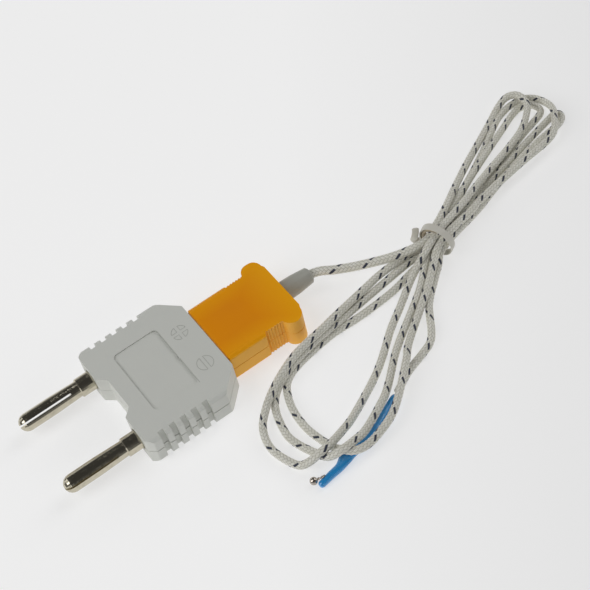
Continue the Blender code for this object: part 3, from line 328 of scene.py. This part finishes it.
def link(mat, output, socket):
    shader = mat.node_tree.nodes["Principled BSDF"]
    mat.node_tree.links.new(output, shader.inputs[socket])


def bump(mat, height, distance):
    return add(mat, "ShaderNodeBump", {"Height": height, "Distance": distance, "Strength": 1.0}
               ).outputs["Normal"]


def moulded_plastic(name, colour, dark, roughness, grain=GRAIN_RELIEF, **values):
    """Moulded plastic: slight cloudiness of colour, a fine sprayed grain and uneven gloss."""
    mat = new_material(name, **values)
    at = place(mat)
    cloud = noise(mat, at, CLOUD_SCALE, 4.0, 0.6)
    speck = noise(mat, at, GRAIN_SCALE, 2.0, 0.5)
    link(mat, mixed(mat, spread_to(mat, cloud, 0.3, 0.75, 0.0, 1.0), (*colour, 1), (*dark, 1)),
         "Base Color")
    link(mat, spread_to(mat, cloud, 0.25, 0.75, roughness - 0.05, roughness + 0.07), "Roughness")
    link(mat, bump(mat, speck, grain), "Normal")
    return mat


def paint_side_glow(mat, colour, edge_glow_colour):
    """Painted glow of light through the plastic: a paler colour where the surface faces sideways, a
    yellower one towards the edges.
    """
    shader = mat.node_tree.nodes["Principled BSDF"]
    base = shader.inputs["Base Color"].links[0].from_socket
    normal = add(mat, "ShaderNodeNewGeometry").outputs["True Normal"]
    upward = add(mat, "ShaderNodeSeparateXYZ", {0: normal}).outputs[2]
    sideways = maths(mat, "SUBTRACT", 1.0, maths(mat, "ABSOLUTE", upward))
    parts = add(mat, "ShaderNodeSeparateXYZ", {0: place(mat)}).outputs
    off_x = maths(mat, "DIVIDE", maths(mat, "ABSOLUTE", maths(mat, "SUBTRACT", parts[0], GLOW_X)),
                  GLOW_HALF_LENGTH)
    off_y = maths(mat, "DIVIDE", maths(mat, "ABSOLUTE", parts[1]), GLOW_HALF_WIDTH)
    # Painted glow, yellower towards the edges
    edge_glow_mask = spread_to(mat, maths(mat, "MAXIMUM", off_x, off_y), 0.35, 1.0, 0.0, 1.0)
    base = mixed(mat, edge_glow_mask, base, (*edge_glow_colour, 1))
    # Painted glow, paler where the surface faces sideways
    link(mat, mixed(mat, spread_to(mat, sideways, 0.15, 0.95, 0.0, 1.0), base, (*colour, 1)),
         "Base Color")


def worn_metal(name, colour, roughness, **values):
    """Plated metal with faint polishing marks, finer turning marks and small spots of dullness."""
    mat = new_material(name, Metallic=1.0, **values)
    at = place(mat)
    stretched = add(mat, "ShaderNodeMapping", {"Vector": at, "Scale": POLISH_SCALE})
    lines = noise(mat, stretched.outputs[0], 1.0, 3.0, 0.6)
    turned = add(mat, "ShaderNodeMapping", {"Vector": at, "Scale": TURNING_SCALE})
    rings = noise(mat, turned.outputs[0], 1.0, 2.0, 0.5)
    lines = maths(mat, "ADD", lines, maths(mat, "MULTIPLY", rings, TURNING_WEIGHT))
    spots = noise(mat, at, SPOT_SCALE, 4.0, 0.65)
    dull = tuple(DULL_SHARE * c for c in colour)
    link(mat, mixed(mat, spread_to(mat, spots, 0.45, 0.7, 0.0, 1.0), (*colour, 1), (*dull, 1)),
         "Base Color")
    link(mat, spread_to(mat, spots, 0.4, 0.75, roughness, roughness + 0.16), "Roughness")
    link(mat, bump(mat, lines, METAL_RELIEF), "Normal")
    return mat


def braid_material():
    """Glass-fibre yarns: cells from the braid map, fibres along each yarn, painted shade in the gaps,
    splits and dips, one dark marker yarn.
    """
    mat = new_material("braid", Roughness=0.72, Sheen_Weight=0.15)
    cells = add(mat, "ShaderNodeUVMap", uv_map="braid").outputs[0]
    parts = add(mat, "ShaderNodeSeparateXYZ", {0: cells}).outputs
    a, b = parts[0], parts[1]
    row_a, row_b = maths(mat, "FLOOR", a), maths(mat, "FLOOR", b)
    turn = maths(mat, "FLOORED_MODULO", maths(mat, "ADD", row_a, row_b), PATTERN_TURN)
    a_on_top = maths(mat, "LESS_THAN", turn, 1.5)
    across_a, across_b = maths(mat, "FRACT", a), maths(mat, "FRACT", b)

    def chosen(if_a, if_b):
        node = add(mat, "ShaderNodeMix", {0: a_on_top, 2: if_b, 3: if_a}, data_type="FLOAT")
        return node.outputs[0]

    across = chosen(across_a, across_b)
    edge = maths(mat, "ABSOLUTE", maths(mat, "SUBTRACT", across, 0.5))
    # From 0 in the middle of a yarn's visible stretch to 1 where it dives
    stretch = chosen(maths(mat, "ADD", turn, across_b),
                     maths(mat, "ADD", maths(mat, "SUBTRACT", turn, 2.0), across_a))
    dive = maths(mat, "ABSOLUTE", maths(mat, "SUBTRACT", stretch, 1.0))
    # Fibres run along the yarn that is on top
    along = chosen(b, a)
    fibre_at = add(mat, "ShaderNodeCombineXYZ",
                   {0: maths(mat, "MULTIPLY", across, FIBRE_SCALE[0]),
                    1: maths(mat, "MULTIPLY", along, FIBRE_SCALE[1]),
                    2: maths(mat, "MULTIPLY", chosen(row_a, row_b), FIBRE_SCALE[2])}).outputs[0]
    fibre = noise(mat, fibre_at, 1.0, 3.0, 0.65)
    yarn = add(mat, "ShaderNodeTexWhiteNoise",
               {"Vector": add(mat, "ShaderNodeCombineXYZ", {0: row_a, 1: row_b}).outputs[0]})
    pale = mixed(mat, yarn.outputs[0], YARN_PALE, YARN_PALEST)
    # Painted shade between the fibres
    pale = mixed(mat, spread_to(mat, fibre, 0.35, 0.7, 0.0, 0.3), pale, PAINTED_FIBRE_SHADE)
    # Painted shade in the gaps beside each yarn
    pale = mixed(mat, spread_to(mat, edge, 0.26, 0.5, 0.0, 0.7), pale, PAINTED_GAP_SHADE)
    # Each yarn is two ends side by side, with painted shade in the split between them
    split = spread_to(mat, edge, 0.0, 0.14, 1.0, 0.0)
    pale = mixed(mat, maths(mat, "MULTIPLY", split, 0.5), pale, PAINTED_SPLIT_SHADE)
    # Painted shade where the yarn dives
    pale = mixed(mat, spread_to(mat, dive, 0.55, 1.0, 0.0, 0.65), pale, PAINTED_DIP_SHADE)
    marker = maths(mat, "COMPARE", maths(mat, "FLOORED_MODULO", row_a, float(BRAID_YARNS)),
                   MARKER_ROW, 0.5)
    # The dark yarn shows over a little more than the two yarns it crosses
    run = maths(mat, "ADD", maths(mat, "ADD", turn, across_b), MARKER_REACH)
    run = maths(mat, "FLOORED_MODULO", run, PATTERN_TURN)
    shown = maths(mat, "LESS_THAN", run, 2.0 + 2 * MARKER_REACH)
    off_middle = maths(mat, "ABSOLUTE", maths(mat, "SUBTRACT", across_a, 0.5))
    shown = maths(mat, "MULTIPLY", shown, maths(mat, "LESS_THAN", off_middle, MARKER_HALF_WIDTH))
    marker = maths(mat, "MULTIPLY", marker, shown)
    dark = mixed(mat, spread_to(mat, fibre, 0.3, 0.8, 0.0, 1.0), MARKER_DARK, MARKER_LIGHT)
    link(mat, mixed(mat, marker, pale, dark), "Base Color")
    # The relief: a round crown, lower where the yarn dives, with its split and its fibres
    off_crown = maths(mat, "POWER", maths(mat, "MULTIPLY", edge, 2.0), 2.0)
    crown = maths(mat, "SUBTRACT", 1.0, off_crown)
    crown = maths(mat, "MULTIPLY", crown, spread_to(mat, dive, 0.5, 1.0, 1.0, 0.25))
    crown = maths(mat, "SUBTRACT", crown, maths(mat, "MULTIPLY", split, SPLIT_RELIEF))
    height = maths(mat, "ADD", crown, maths(mat, "MULTIPLY", fibre, FIBRE_RELIEF))
    link(mat, bump(mat, height, BRAID_BUMP), "Normal")
    return mat


# Meshes

def new_object(name, data):
    obj = bpy.data.objects.new(name, data)
    bpy.context.scene.collection.objects.link(obj)
    return obj


def face_outward(mesh):
    bm = bmesh.new()
    bm.from_mesh(mesh)
    bmesh.ops.recalc_face_normals(bm, faces=bm.faces)
    bm.to_mesh(mesh)
    bm.free()


def from_front(x, y, z):
    """A route point in millimetres from the connector's front, in metres from the origin."""
    return Vector((MATE_X + x * MM, y * MM, z * MM))


def smooth_points(route, spans):
    """Points of a smooth curve through the route, with `spans` steps between neighbours."""
    route = [Vector(p) for p in route]
    ends = [2 * route[0] - route[1]] + route + [2 * route[-1] - route[-2]]
    points = []
    for i in range(1, len(ends) - 2):
        a, b, c, d = ends[i - 1:i + 3]
        for step in range(spans):
            t = step / spans
            points.append(0.5 * (2 * b + (c - a) * t + (2 * a - 5 * b + 4 * c - d) * t ** 2
                                 + (3 * b - 3 * c + d - a) * t ** 3))
    return points + [route[-1]]


def ways_along(spine):
    """The direction of the curve at each of its points."""
    last = len(spine) - 1
    return [(spine[min(i + 1, last)] - spine[max(i - 1, 0)]).normalized()
            for i in range(len(spine))]


def tie_frame():
    """The ring's centre, the bundle's direction and its left."""
    turn = math.radians(TIE_TURN)
    centre = from_front(*TIE_CENTRE, 0.0)
    centre.z = TIE_INNER_RADIUS + TIE_THICKNESS + TIE_CLEARANCE
    return (centre, Vector((math.cos(turn), math.sin(turn), 0.0)),
            Vector((-math.sin(turn), math.cos(turn), 0.0)))


def tie_passes():
    """The two ends of each strand's straight stretch through the tie, in cord order."""
    centre, along, left = tie_frame()
    passes = []
    for i, angle in enumerate(PASS_ANGLES):
        middle = centre - Vector((0.0, 0.0, BUNDLE_DROP))
        if angle is not None:
            turn = math.radians(angle)
            middle += BUNDLE_RADIUS * (left * math.cos(turn) + Vector((0, 0, math.sin(turn))))
        way = along * PASS_HALF * (1 if i % 2 == 0 else -1)
        passes.append([middle - way, middle + way])
    return passes


def cord_route():
    route = [Vector((REAR_X - CORD_INSIDE, BOOT_Y, MID_Z)), Vector((BOOT_END_X, BOOT_Y, MID_Z))]
    for run, strand in zip(CORD_RUNS, tie_passes() + [[]]):
        route += [from_front(*point) for point in run] + strand
    points = smooth_points(route, ROUTE_SPANS)
    for point in points:
        point.z = max(point.z, FLOOR_RUN_Z)
    return points


def evenly(points, step):
    """Points a step apart along a route, slightly averaged, and the route's directions there."""
    line = np.array([tuple(p) for p in points])
    gone = np.concatenate([[0.0], np.cumsum(np.linalg.norm(np.diff(line, axis=0), axis=1))])
    at = np.arange(0.0, gone[-1], step)
    even = np.stack([np.interp(at, gone, line[:, k]) for k in range(3)], 1)
    window = np.hanning(2 * ROUTE_SOFTENING + 1)
    window /= window.sum()
    padded = np.pad(even, ((ROUTE_SOFTENING, ROUTE_SOFTENING), (0, 0)), mode="edge")
    soft = np.stack([np.convolve(padded[:, k], window, "valid") for k in range(3)], 1)
    ways = np.gradient(soft, axis=0)
    return soft, ways / np.linalg.norm(ways, axis=1)[:, None]


def make_cord():
    """A tube on a lattice of half yarn widths, so that each yarn's crown and dips are real."""
    steps = BRAID_YARNS * 4
    around = BRAID_YARNS * 2
    centres, ways = evenly(cord_route(), BRAID_PITCH / steps)
    count = len(centres)
    side = np.cross(ways, (0.0, 0.0, 1.0))
    side /= np.linalg.norm(side, axis=1)[:, None]
    up = np.cross(side, ways)

    rings = np.arange(count)[:, None]
    places = np.arange(around)[None, :]
    turns = 2 * places + rings % 2
    half_a, half_b = (turns - rings) // 2, (turns + rings) // 2   # in half yarn widths
    angle = 2 * math.pi * turns / steps
    relief = yarn_height(half_a, half_b) * YARN_RELIEF
    gone = np.arange(count) * BRAID_PITCH / steps
    half_width = np.interp(gone, (LOOP_FROM, LOOP_TO), (CORD_HALF_WIDTH, LOOP_HALF_WIDTH))
    far = np.clip((centres[:, 0] - TIGHT_FROM) / (TIGHT_TO - TIGHT_FROM), 0.0, 1.0)
    half_width += (TIGHT_HALF_WIDTH - LOOP_HALF_WIDTH) * far
    wide = np.cos(angle) * (half_width[:, None] + relief)
    high = np.sin(angle) * (CORD_HALF_HEIGHT + relief)
    points = (centres[:, None, :] + side[:, None, :] * wide[:, :, None]
              + up[:, None, :] * high[:, :, None])

    faces, cells = [], []
    for n in range(count - 2):
        odd = n % 2
        for k in range(around):
            before = (k + odd - 1) % around
            after = (k + odd) % around
            faces.append((n * around + k, (n + 1) * around + before, (n + 2) * around + k,
                          (n + 1) * around + after))
            t = 2 * k + odd
            a, b = (t - n) / 4, (t + n) / 4
            cells += [(a, b), (a - 0.5, b), (a - 0.5, b + 0.5), (a, b + 0.5)]
    # Triangles even out the zigzag at both ends, and a flat face closes each
    row_before, last_row = (count - 2) * around, (count - 1) * around
    for k in range(around):
        after = (k + 1) % around
        faces.append((k, after, around + k))
        if count % 2 == 0:
            faces.append((row_before + k, last_row + k, row_before + after))
        else:
            faces.append((last_row + k, row_before + k, last_row + after))
        cells += [BRAID_END_CELL] * 6
    faces += [list(range(around)), [last_row + k for k in range(around)][::-1]]
    cells += [BRAID_END_CELL] * (2 * around)
    mesh = bpy.data.meshes.new("cord_braid")
    mesh.from_pydata(points.reshape(-1, 3).tolist(), [], faces)
    mesh.uv_layers.new(name="braid").uv.foreach_set("vector", np.array(cells, np.float32).ravel())
    mesh.polygons.foreach_set("use_smooth", [True] * len(mesh.polygons))
    mesh.materials.append(braid_material())
    mesh.update()
    face_outward(mesh)
    cord = new_object("braided_cord", mesh)
    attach(cord, "root")
    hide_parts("cord")
    return cord, centres


def yarn_height(half_a, half_b):
    """The share of the relief at each lattice point: 0 between yarns, most on a yarn's crown."""
    def on_top(a, b):
        return ((a + b) % 4) < 2
    a, b = half_a // 2, half_b // 2
    odd_a, odd_b = half_a % 2 == 1, half_b % 2 == 1
    here, back_a, back_b = on_top(a, b), on_top(a - 1, b), on_top(a, b - 1)
    height = np.zeros(half_a.shape)
    height[odd_a & odd_b] = 1.0
    # On the line down the middle of a first-way yarn, between two of its crossings
    middle_a = odd_a & ~odd_b
    height[middle_a & here & back_b] = CREST_SHARE
    height[middle_a & (here != back_b)] = DIVE_SHARE
    # The same on a second-way yarn
    middle_b = ~odd_a & odd_b
    height[middle_b & ~here & ~back_a] = CREST_SHARE
    height[middle_b & (here != back_a)] = DIVE_SHARE
    return height


def lofted(name, rings, closed_loop=False):
    """A smooth skin over rings of as many points each, capped unless the rings close on themselves."""
    count = len(rings[0])
    points = [tuple(p) for ring in rings for p in ring]
    faces = []
    steps = len(rings) if closed_loop else len(rings) - 1
    for n in range(steps):
        near, far = n * count, (n + 1) % len(rings) * count
        for k in range(count):
            after = (k + 1) % count
            faces.append((near + k, far + k, far + after, near + after))
    if not closed_loop:
        faces += [list(range(count)), [(len(rings) - 1) * count + k for k in range(count)][::-1]]
    mesh = bpy.data.meshes.new(name)
    mesh.from_pydata(points, [], faces)
    mesh.polygons.foreach_set("use_smooth", [len(f) == 4 for f in faces])
    mesh.update()
    face_outward(mesh)
    return new_object(name, mesh)


def dress(piece, mat, node):
    """The piece's material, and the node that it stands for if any."""
    piece.data.materials.append(mat)
    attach(piece, "root")
    if node:
        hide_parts(node)


def ribbon_section(half_width, half_thickness):
    """The ribbon's rounded edge-to-edge section, as (across, out) offsets."""
    section = []
    for side, start in ((1, -90), (-1, 90)):
        for i in range(RIBBON_CORNERS + 1):
            turn = math.radians(start + 180 * i / RIBBON_CORNERS)
            section.append((side * (half_width - half_thickness) + half_thickness * math.cos(turn),
                            half_thickness * math.sin(turn)))
    return section


def make_tie(mat, shade_mat):
    """A flat ribbon wound round the strands, its folded start, dark with painted shade, and its end at
    the left.
    """
    centre, along, left = tie_frame()
    up = Vector((0.0, 0.0, 1.0))
    section = ribbon_section(RIBBON_WIDTH / 2, RIBBON_THICKNESS / 2)
    rings = []
    middle = TIE_INNER_RADIUS + TIE_THICKNESS / 2
    for i in range(TIE_STEPS):
        turn = 2 * math.pi * i / TIE_STEPS
        out = left * math.cos(turn) + up * math.sin(turn)
        lean = RIBBON_LEAN[0] * math.sin(turn + 0.6) + RIBBON_LEAN[1] * math.sin(3 * turn)
        across = (along + out * lean).normalized()
        radius = middle + RIBBON_WAVE * math.sin(2 * turn + 1.0)
        rings.append([centre + out * (radius + o) + across * a for a, o in section])
    ring = lofted("tie_ribbon", rings, closed_loop=True)
    dress(ring, mat, "tie_band")

    # The folded start, coloured as painted shade
    section = ribbon_section(FOLD_HALF_WIDTH, FOLD_HALF_THICKNESS)
    rings = []
    for i in range(FOLD_STEPS + 1):
        turn = math.radians(FOLD_ARC[0] + (FOLD_ARC[1] - FOLD_ARC[0]) * i / FOLD_STEPS)
        out = left * math.cos(turn) + up * math.sin(turn)
        radius = middle - FOLD_INSET - FOLD_WAVE * math.sin(FOLD_WAVES * turn)
        rings.append([centre + out * (radius + o) + along * a for a, o in section])
    dress(lofted("tie_fold", rings), shade_mat, "tie_band")

    section = ribbon_section(TAIL_HALF_WIDTH, RIBBON_THICKNESS / 2)
    spine = smooth_points([centre + (left * u + up * w + along * a) * MM
                           for u, w, a, twist in TAIL_ROUTE], TAIL_SPANS)
    twists = smooth_points([(twist, 0.0, 0.0) for u, w, a, twist in TAIL_ROUTE], TAIL_SPANS)
    rings = []
    for i, (point, way) in enumerate(zip(spine, ways_along(spine))):
        turn = Matrix.Rotation(math.radians(twists[i].x), 3, way)
        flat = turn @ (along - way * along.dot(way)).normalized()
        out = way.cross(flat)
        narrow = TAIL_END_NARROWING if i in (0, len(spine) - 1) else 1.0
        rings.append([point + flat * a * narrow + out * o for a, o in section])
    dress(lofted("tie_tail", rings), mat, "tie_band")


def make_sleeve(mat):
    """The blue end sleeve: oval, pressed flat where the wires part, rounded at its end."""
    spine = smooth_points([from_front(*point) for point in SLEEVE_ROUTE], SLEEVE_SPANS)
    halves = [(w, h, 0.0) for w, h in zip(SLEEVE_HALF_WIDTHS, SLEEVE_HALF_HEIGHTS)]
    sizes = smooth_points(halves, SLEEVE_SPANS)
    turns = [2 * math.pi * k / SLEEVE_CORNERS for k in range(SLEEVE_CORNERS)]
    rings = []
    for i, (point, way) in enumerate(zip(spine, ways_along(spine))):
        side = way.cross(Vector((0.0, 0.0, 1.0))).normalized()
        up = side.cross(way)
        # 0 at an end, 1 where the rounding is over
        inward = min(1.0, min(i, len(spine) - 1 - i) / SLEEVE_END_STEPS)
        ease = math.sqrt(1 - SLEEVE_END_ROUNDING * (1 - inward) ** 2)
        wide, high = sizes[i].x * MM * ease, sizes[i].y * MM * ease
        rings.append([point + side * wide * math.cos(turn) + up * high * math.sin(turn)
                      for turn in turns])
    dress(lofted("end_sleeve", rings), mat, "tip_sleeve")


def make_tip_wires(mat):
    """The two wires from the bead, laid over the sleeve's end and twisted once."""
    spine = smooth_points([from_front(*point) for point in WIRE_ROUTE], WIRE_SPANS)
    turns = [2 * math.pi * k / WIRE_CORNERS for k in range(WIRE_CORNERS)]
    for start, node in ((0.0, "tip_wire_positive"), (math.pi, "tip_wire_negative")):
        rings = []
        for i, (point, way) in enumerate(zip(spine, ways_along(spine))):
            across = way.cross(Vector((0.0, 0.0, 1.0))).normalized()
            up = across.cross(way)
            twist = 2 * math.pi * WIRE_TURNS * i / len(spine) + start
            middle = point + (across * math.cos(twist) + up * math.sin(twist)) * WIRE_SPREAD
            rings.append([middle + (across * math.cos(turn) + up * math.sin(turn)) * WIRE_HALF
                          for turn in turns])
        dress(lofted("bare_" + node, rings), mat, node)


def strip(bm, line, half_width, low_z, high_z):
    """A thin moulded line through flat points, from low_z to high_z."""
    rows = []
    for i, point in enumerate(line):
        before, after = line[max(i - 1, 0)], line[min(i + 1, len(line) - 1)]
        if line[0] == line[-1] and i in (0, len(line) - 1):
            before, after = line[-2], line[1]
        way = (Vector(after) - Vector(before)).normalized()
        side = Vector((-way.y, way.x)) * half_width
        edges = [Vector(point) + side, Vector(point) - side]
        rows.append([bm.verts.new((p.x, p.y, z)) for z in (low_z, high_z) for p in edges])
    for a, b in zip(rows, rows[1:]):
        for i, j in ((0, 1), (1, 3), (3, 2), (2, 0)):
            bm.faces.new((a[i], a[j], b[j], b[i]))
    for row in (rows[0], rows[-1]):
        bm.faces.new((row[0], row[1], row[3], row[2]))


def ring_points(start, sweep, steps):
    """The points inside a sweep of a mark's ring, without its two ends."""
    turns = [start + sweep * i / steps for i in range(1, steps)]
    return [(MARK_RADIUS * math.sin(turn), MARK_RADIUS * math.cos(turn)) for turn in turns]


def make_marks(mat):
    """The polarity marks, and the fine line along the panel: thin moulded lines on the top, in a
    darker grey that is painted shade.
    """
    bm = bmesh.new()
    low_z, high_z = TOP_Z - MARK_FOOT, TOP_Z + MARK_RISE
    gap = math.asin(MARK_BAR_HALF / MARK_RADIUS)
    reach = math.sqrt(MARK_RADIUS ** 2 - MARK_BAR_HALF ** 2)
    # The plus parts its ring in four, the bar in two
    for side_x, side_y in ((1, 1), (-1, 1), (-1, -1), (1, -1)):
        line = [(reach, MARK_BAR_HALF), (MARK_BAR_HALF, MARK_BAR_HALF), (MARK_BAR_HALF, reach)]
        line += ring_points(gap, math.pi / 2 - 2 * gap, MARK_STEPS)
        line.append(line[0])
        strip(bm, [(MARK_X + side_x * x, PLUS_Y + side_y * y) for x, y in line], MARK_LINE / 2,
              low_z, high_z)
    for side in (-1, 1):
        line = [(MARK_BAR_HALF, -reach), (MARK_BAR_HALF, reach)]
        line += ring_points(gap, math.pi - 2 * gap, 2 * MARK_STEPS)
        line.append(line[0])
        strip(bm, [(MARK_X + side * x, BAR_Y + y) for x, y in line], MARK_LINE / 2, low_z, high_z)
    # The panel's line has a jog, and turns the corner at its end; it is a dark strip of painted shade
    # at the panel's step
    line = [(PANEL_HIGH_X + x * MM, y * MM) for x, y in PANEL_JOG]
    middle_x, middle_y = PANEL_HIGH_X - PANEL_CORNER, PANEL_HALF_WIDTH - PANEL_CORNER
    for i in range(PANEL_CORNER_STEPS + 1):
        turn = math.pi / 2 * i / PANEL_CORNER_STEPS
        line.append((middle_x + PANEL_CORNER * math.cos(turn),
                     middle_y + PANEL_CORNER * math.sin(turn)))
    strip(bm, line, PANEL_LINE / 2, TOP_Z - PANEL_DEPTH - MARK_FOOT, TOP_Z + PANEL_RISE)
    bmesh.ops.recalc_face_normals(bm, faces=bm.faces)
    mesh = bpy.data.meshes.new("moulded_lines")
    bm.to_mesh(mesh)
    bm.free()
    dress(new_object("moulded_lines", mesh), mat, None)


def make_seam_lip(node, name, mat, inset):
    """A thin tongue in a housing's parting seam: the shell's own plan, pressed flat and inset."""
    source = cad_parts[node]
    mesh = source.data.copy()
    mesh.name = name
    points = np.array([tuple(source.matrix_world @ v.co) for v in mesh.vertices])
    low, high = points.min(0), points.max(0)
    middle, half = (low + high) / 2, (high - low) / 2
    points[:, :2] = middle[:2] + (points[:, :2] - middle[:2]) * (1 - inset / half[:2])
    points[:, 2] = MID_Z + SEAM_LIP * ((points[:, 2] - low[2]) / (high[2] - low[2]) - 0.5)
    mesh.vertices.foreach_set("co", points.ravel())
    mesh.materials.clear()
    mesh.update()
    dress(new_object(name, mesh), mat, None)


def make_lip(mat):
    """The connector's front lip, which closes the seam between the two housings; its amber is painted
    glow of light bounced from the connector.
    """
    rings = []
    for x in (LIP_LOW_X, LIP_HIGH_X):
        ring = []
        for side_y, side_z, start in ((1, 1, 0), (-1, 1, 90), (-1, -1, 180), (1, -1, 270)):
            y = side_y * (LIP_HALF_WIDTH - LIP_CORNER)
            z = MID_Z + side_z * (LIP_HALF_HEIGHT - LIP_CORNER)
            for i in range(LIP_CORNER_STEPS + 1):
                turn = math.radians(start + 90 * i / LIP_CORNER_STEPS)
                ring.append(Vector((x, y + LIP_CORNER * math.cos(turn),
                                    z + LIP_CORNER * math.sin(turn))))
        rings.append(ring)
    dress(lofted("front_lip", rings), mat, None)


def make_floor():
    bm = bmesh.new()
    bmesh.ops.create_grid(bm, x_segments=1, y_segments=1, size=FLOOR_SIZE)
    mesh = bpy.data.meshes.new("floor")
    bm.to_mesh(mesh)
    bm.free()
    floor = new_object("floor", mesh)
    mat = new_material("floor", Roughness=0.9, Specular_IOR_Level=0.1)
    shader = mat.node_tree.nodes["Principled BSDF"]
    shader.inputs["Base Color"].default_value = (FLOOR_GREY, FLOOR_GREY, FLOOR_GREY, 1)
    # Paler to the left of the picture, a little darker to its right
    parts = add(mat, "ShaderNodeSeparateXYZ", {0: place(mat)}).outputs
    rightward = maths(mat, "ADD", maths(mat, "MULTIPLY", parts[0], CAMERA_RIGHT[0]),
                      maths(mat, "MULTIPLY", parts[1], CAMERA_RIGHT[1]))
    link(mat, spread_to(mat, rightward, *FLOOR_SHADE), "Emission Strength")
    shader.inputs["Emission Color"].default_value = (1.0, 1.0, 1.0, 1)
    mesh.materials.append(mat)


def make_light():
    """A dark room with a bright low horizon, and large soft lamps beyond the pins' reflections."""
    world = bpy.data.worlds.new("studio")
    world.use_nodes = True
    nodes, links = world.node_tree.nodes, world.node_tree.links
    coords = nodes.new("ShaderNodeTexCoord")
    parts = nodes.new("ShaderNodeSeparateXYZ")
    ramp = nodes.new("ShaderNodeValToRGB")
    links.new(coords.outputs["Generated"], parts.inputs[0])
    links.new(parts.outputs[2], ramp.inputs[0])
    stops = ramp.color_ramp.elements
    stops[0].position, stops[1].position = 0.0, 1.0
    stops[0].color = (HORIZON, HORIZON, HORIZON, 1)
    stops[1].color = (ZENITH, ZENITH, ZENITH, 1)
    for position, value in SKY_STEPS:
        stops.new(position).color = (value, value, value, 1)
    links.new(ramp.outputs[0], nodes["Background"].inputs[0])
    bpy.context.scene.world = world
    for name, where, size, power in LAMPS:
        data = bpy.data.lights.new(name, "AREA")
        data.shape = "RECTANGLE"
        data.size, data.size_y = size
        data.energy = power
        lamp = new_object(name, data)
        lamp.location = where
        lamp.rotation_euler = (-Vector(where)).to_track_quat("-Z", "Y").to_euler()
    bpy.context.scene.view_settings.view_transform = "Standard"


make_camera()
CORD, CORD_LINE = make_cord()

# Materials of the nodes that come from the CAD model

GREY = moulded_plastic("grey_plastic", (0.68, 0.69, 0.645), (0.66, 0.67, 0.63), 0.5)
# A darker grey for the marks and the panel's line: painted shade of their relief and of the panel's
# step
PAINTED_LINE_SHADE = moulded_plastic("line_painted_shade", (0.50, 0.51, 0.47), (0.47, 0.48, 0.44), 0.6)
# A warmer amber for the front lip: painted glow of light bounced from the connector
PAINTED_GLOW_LIP = moulded_plastic("lip_painted_glow", (0.80, 0.36, 0.06), (0.74, 0.32, 0.05), 0.5)
# A dark brown for the folded start: painted shade between the ring and the strands
RIBBON_PAINTED_SHADE = moulded_plastic("ribbon_painted_shade", (0.42, 0.36, 0.26), (0.34, 0.28, 0.19), 0.4)
AMBER = moulded_plastic("amber_plastic", (0.87, 0.295, 0.0), (0.84, 0.275, 0.0), 0.42,
                        Specular_IOR_Level=0.25)
# Painted glow: light that enters the amber plastic comes out again at its sides, painted into its
# colour
paint_side_glow(AMBER, (0.99, 0.52, 0.07), (0.96, 0.41, 0.0))
BOOT = moulded_plastic("grey_rubber", (0.43, 0.43, 0.385), (0.39, 0.39, 0.35), 0.36)
NICKEL = worn_metal("nickel", (0.60, 0.555, 0.44), 0.08)
BRASS = worn_metal("brass", (0.75, 0.60, 0.33), 0.25)
ALLOY = worn_metal("alloy", (0.60, 0.57, 0.52), 0.3)
STEEL = worn_metal("steel", (0.55, 0.54, 0.52), 0.25)
TIP = worn_metal("bead_alloy", (0.50, 0.45, 0.40), 0.12)
RIBBON = moulded_plastic("ribbon", (0.66, 0.645, 0.58), (0.62, 0.60, 0.53), 0.4)
BLUE = moulded_plastic("blue_sleeve", (0.028, 0.32, 0.72), (0.024, 0.28, 0.66), 0.2,
                       GRAIN_RELIEF_SMOOTH, Coat_Weight=1.0, Coat_Roughness=0.03)

LOOKS = {
    "adapter_lower_shell": GREY, "adapter_upper_shell": GREY,
    "connector_lower_shell": AMBER, "connector_upper_shell": AMBER,
    "strain_relief": BOOT, "bead": TIP,
    "adapter_screw": STEEL, "connector_screw": STEEL,
}
for pole in ("positive", "negative"):
    LOOKS["pin_" + pole] = NICKEL
    LOOKS["pin_nut_" + pole] = BRASS
    LOOKS["contact_" + pole] = ALLOY
    LOOKS["blade_" + pole] = ALLOY
    LOOKS["terminal_screw_" + pole] = STEEL
    LOOKS["wire_" + pole] = ALLOY
    LOOKS["tip_wire_" + pole] = TIP
for node_name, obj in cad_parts.items():
    if node_name in LOOKS:
        obj.data.materials.clear()
        obj.data.materials.append(LOOKS[node_name])

make_tie(RIBBON, RIBBON_PAINTED_SHADE)
make_tip_wires(TIP)
make_sleeve(BLUE)
make_marks(PAINTED_LINE_SHADE)
make_lip(PAINTED_GLOW_LIP)
make_seam_lip("connector_upper_shell", "connector_seam", AMBER, CONNECTOR_SEAM_INSET)
make_seam_lip("adapter_upper_shell", "adapter_seam", GREY, ADAPTER_SEAM_INSET)
make_floor()
make_light()
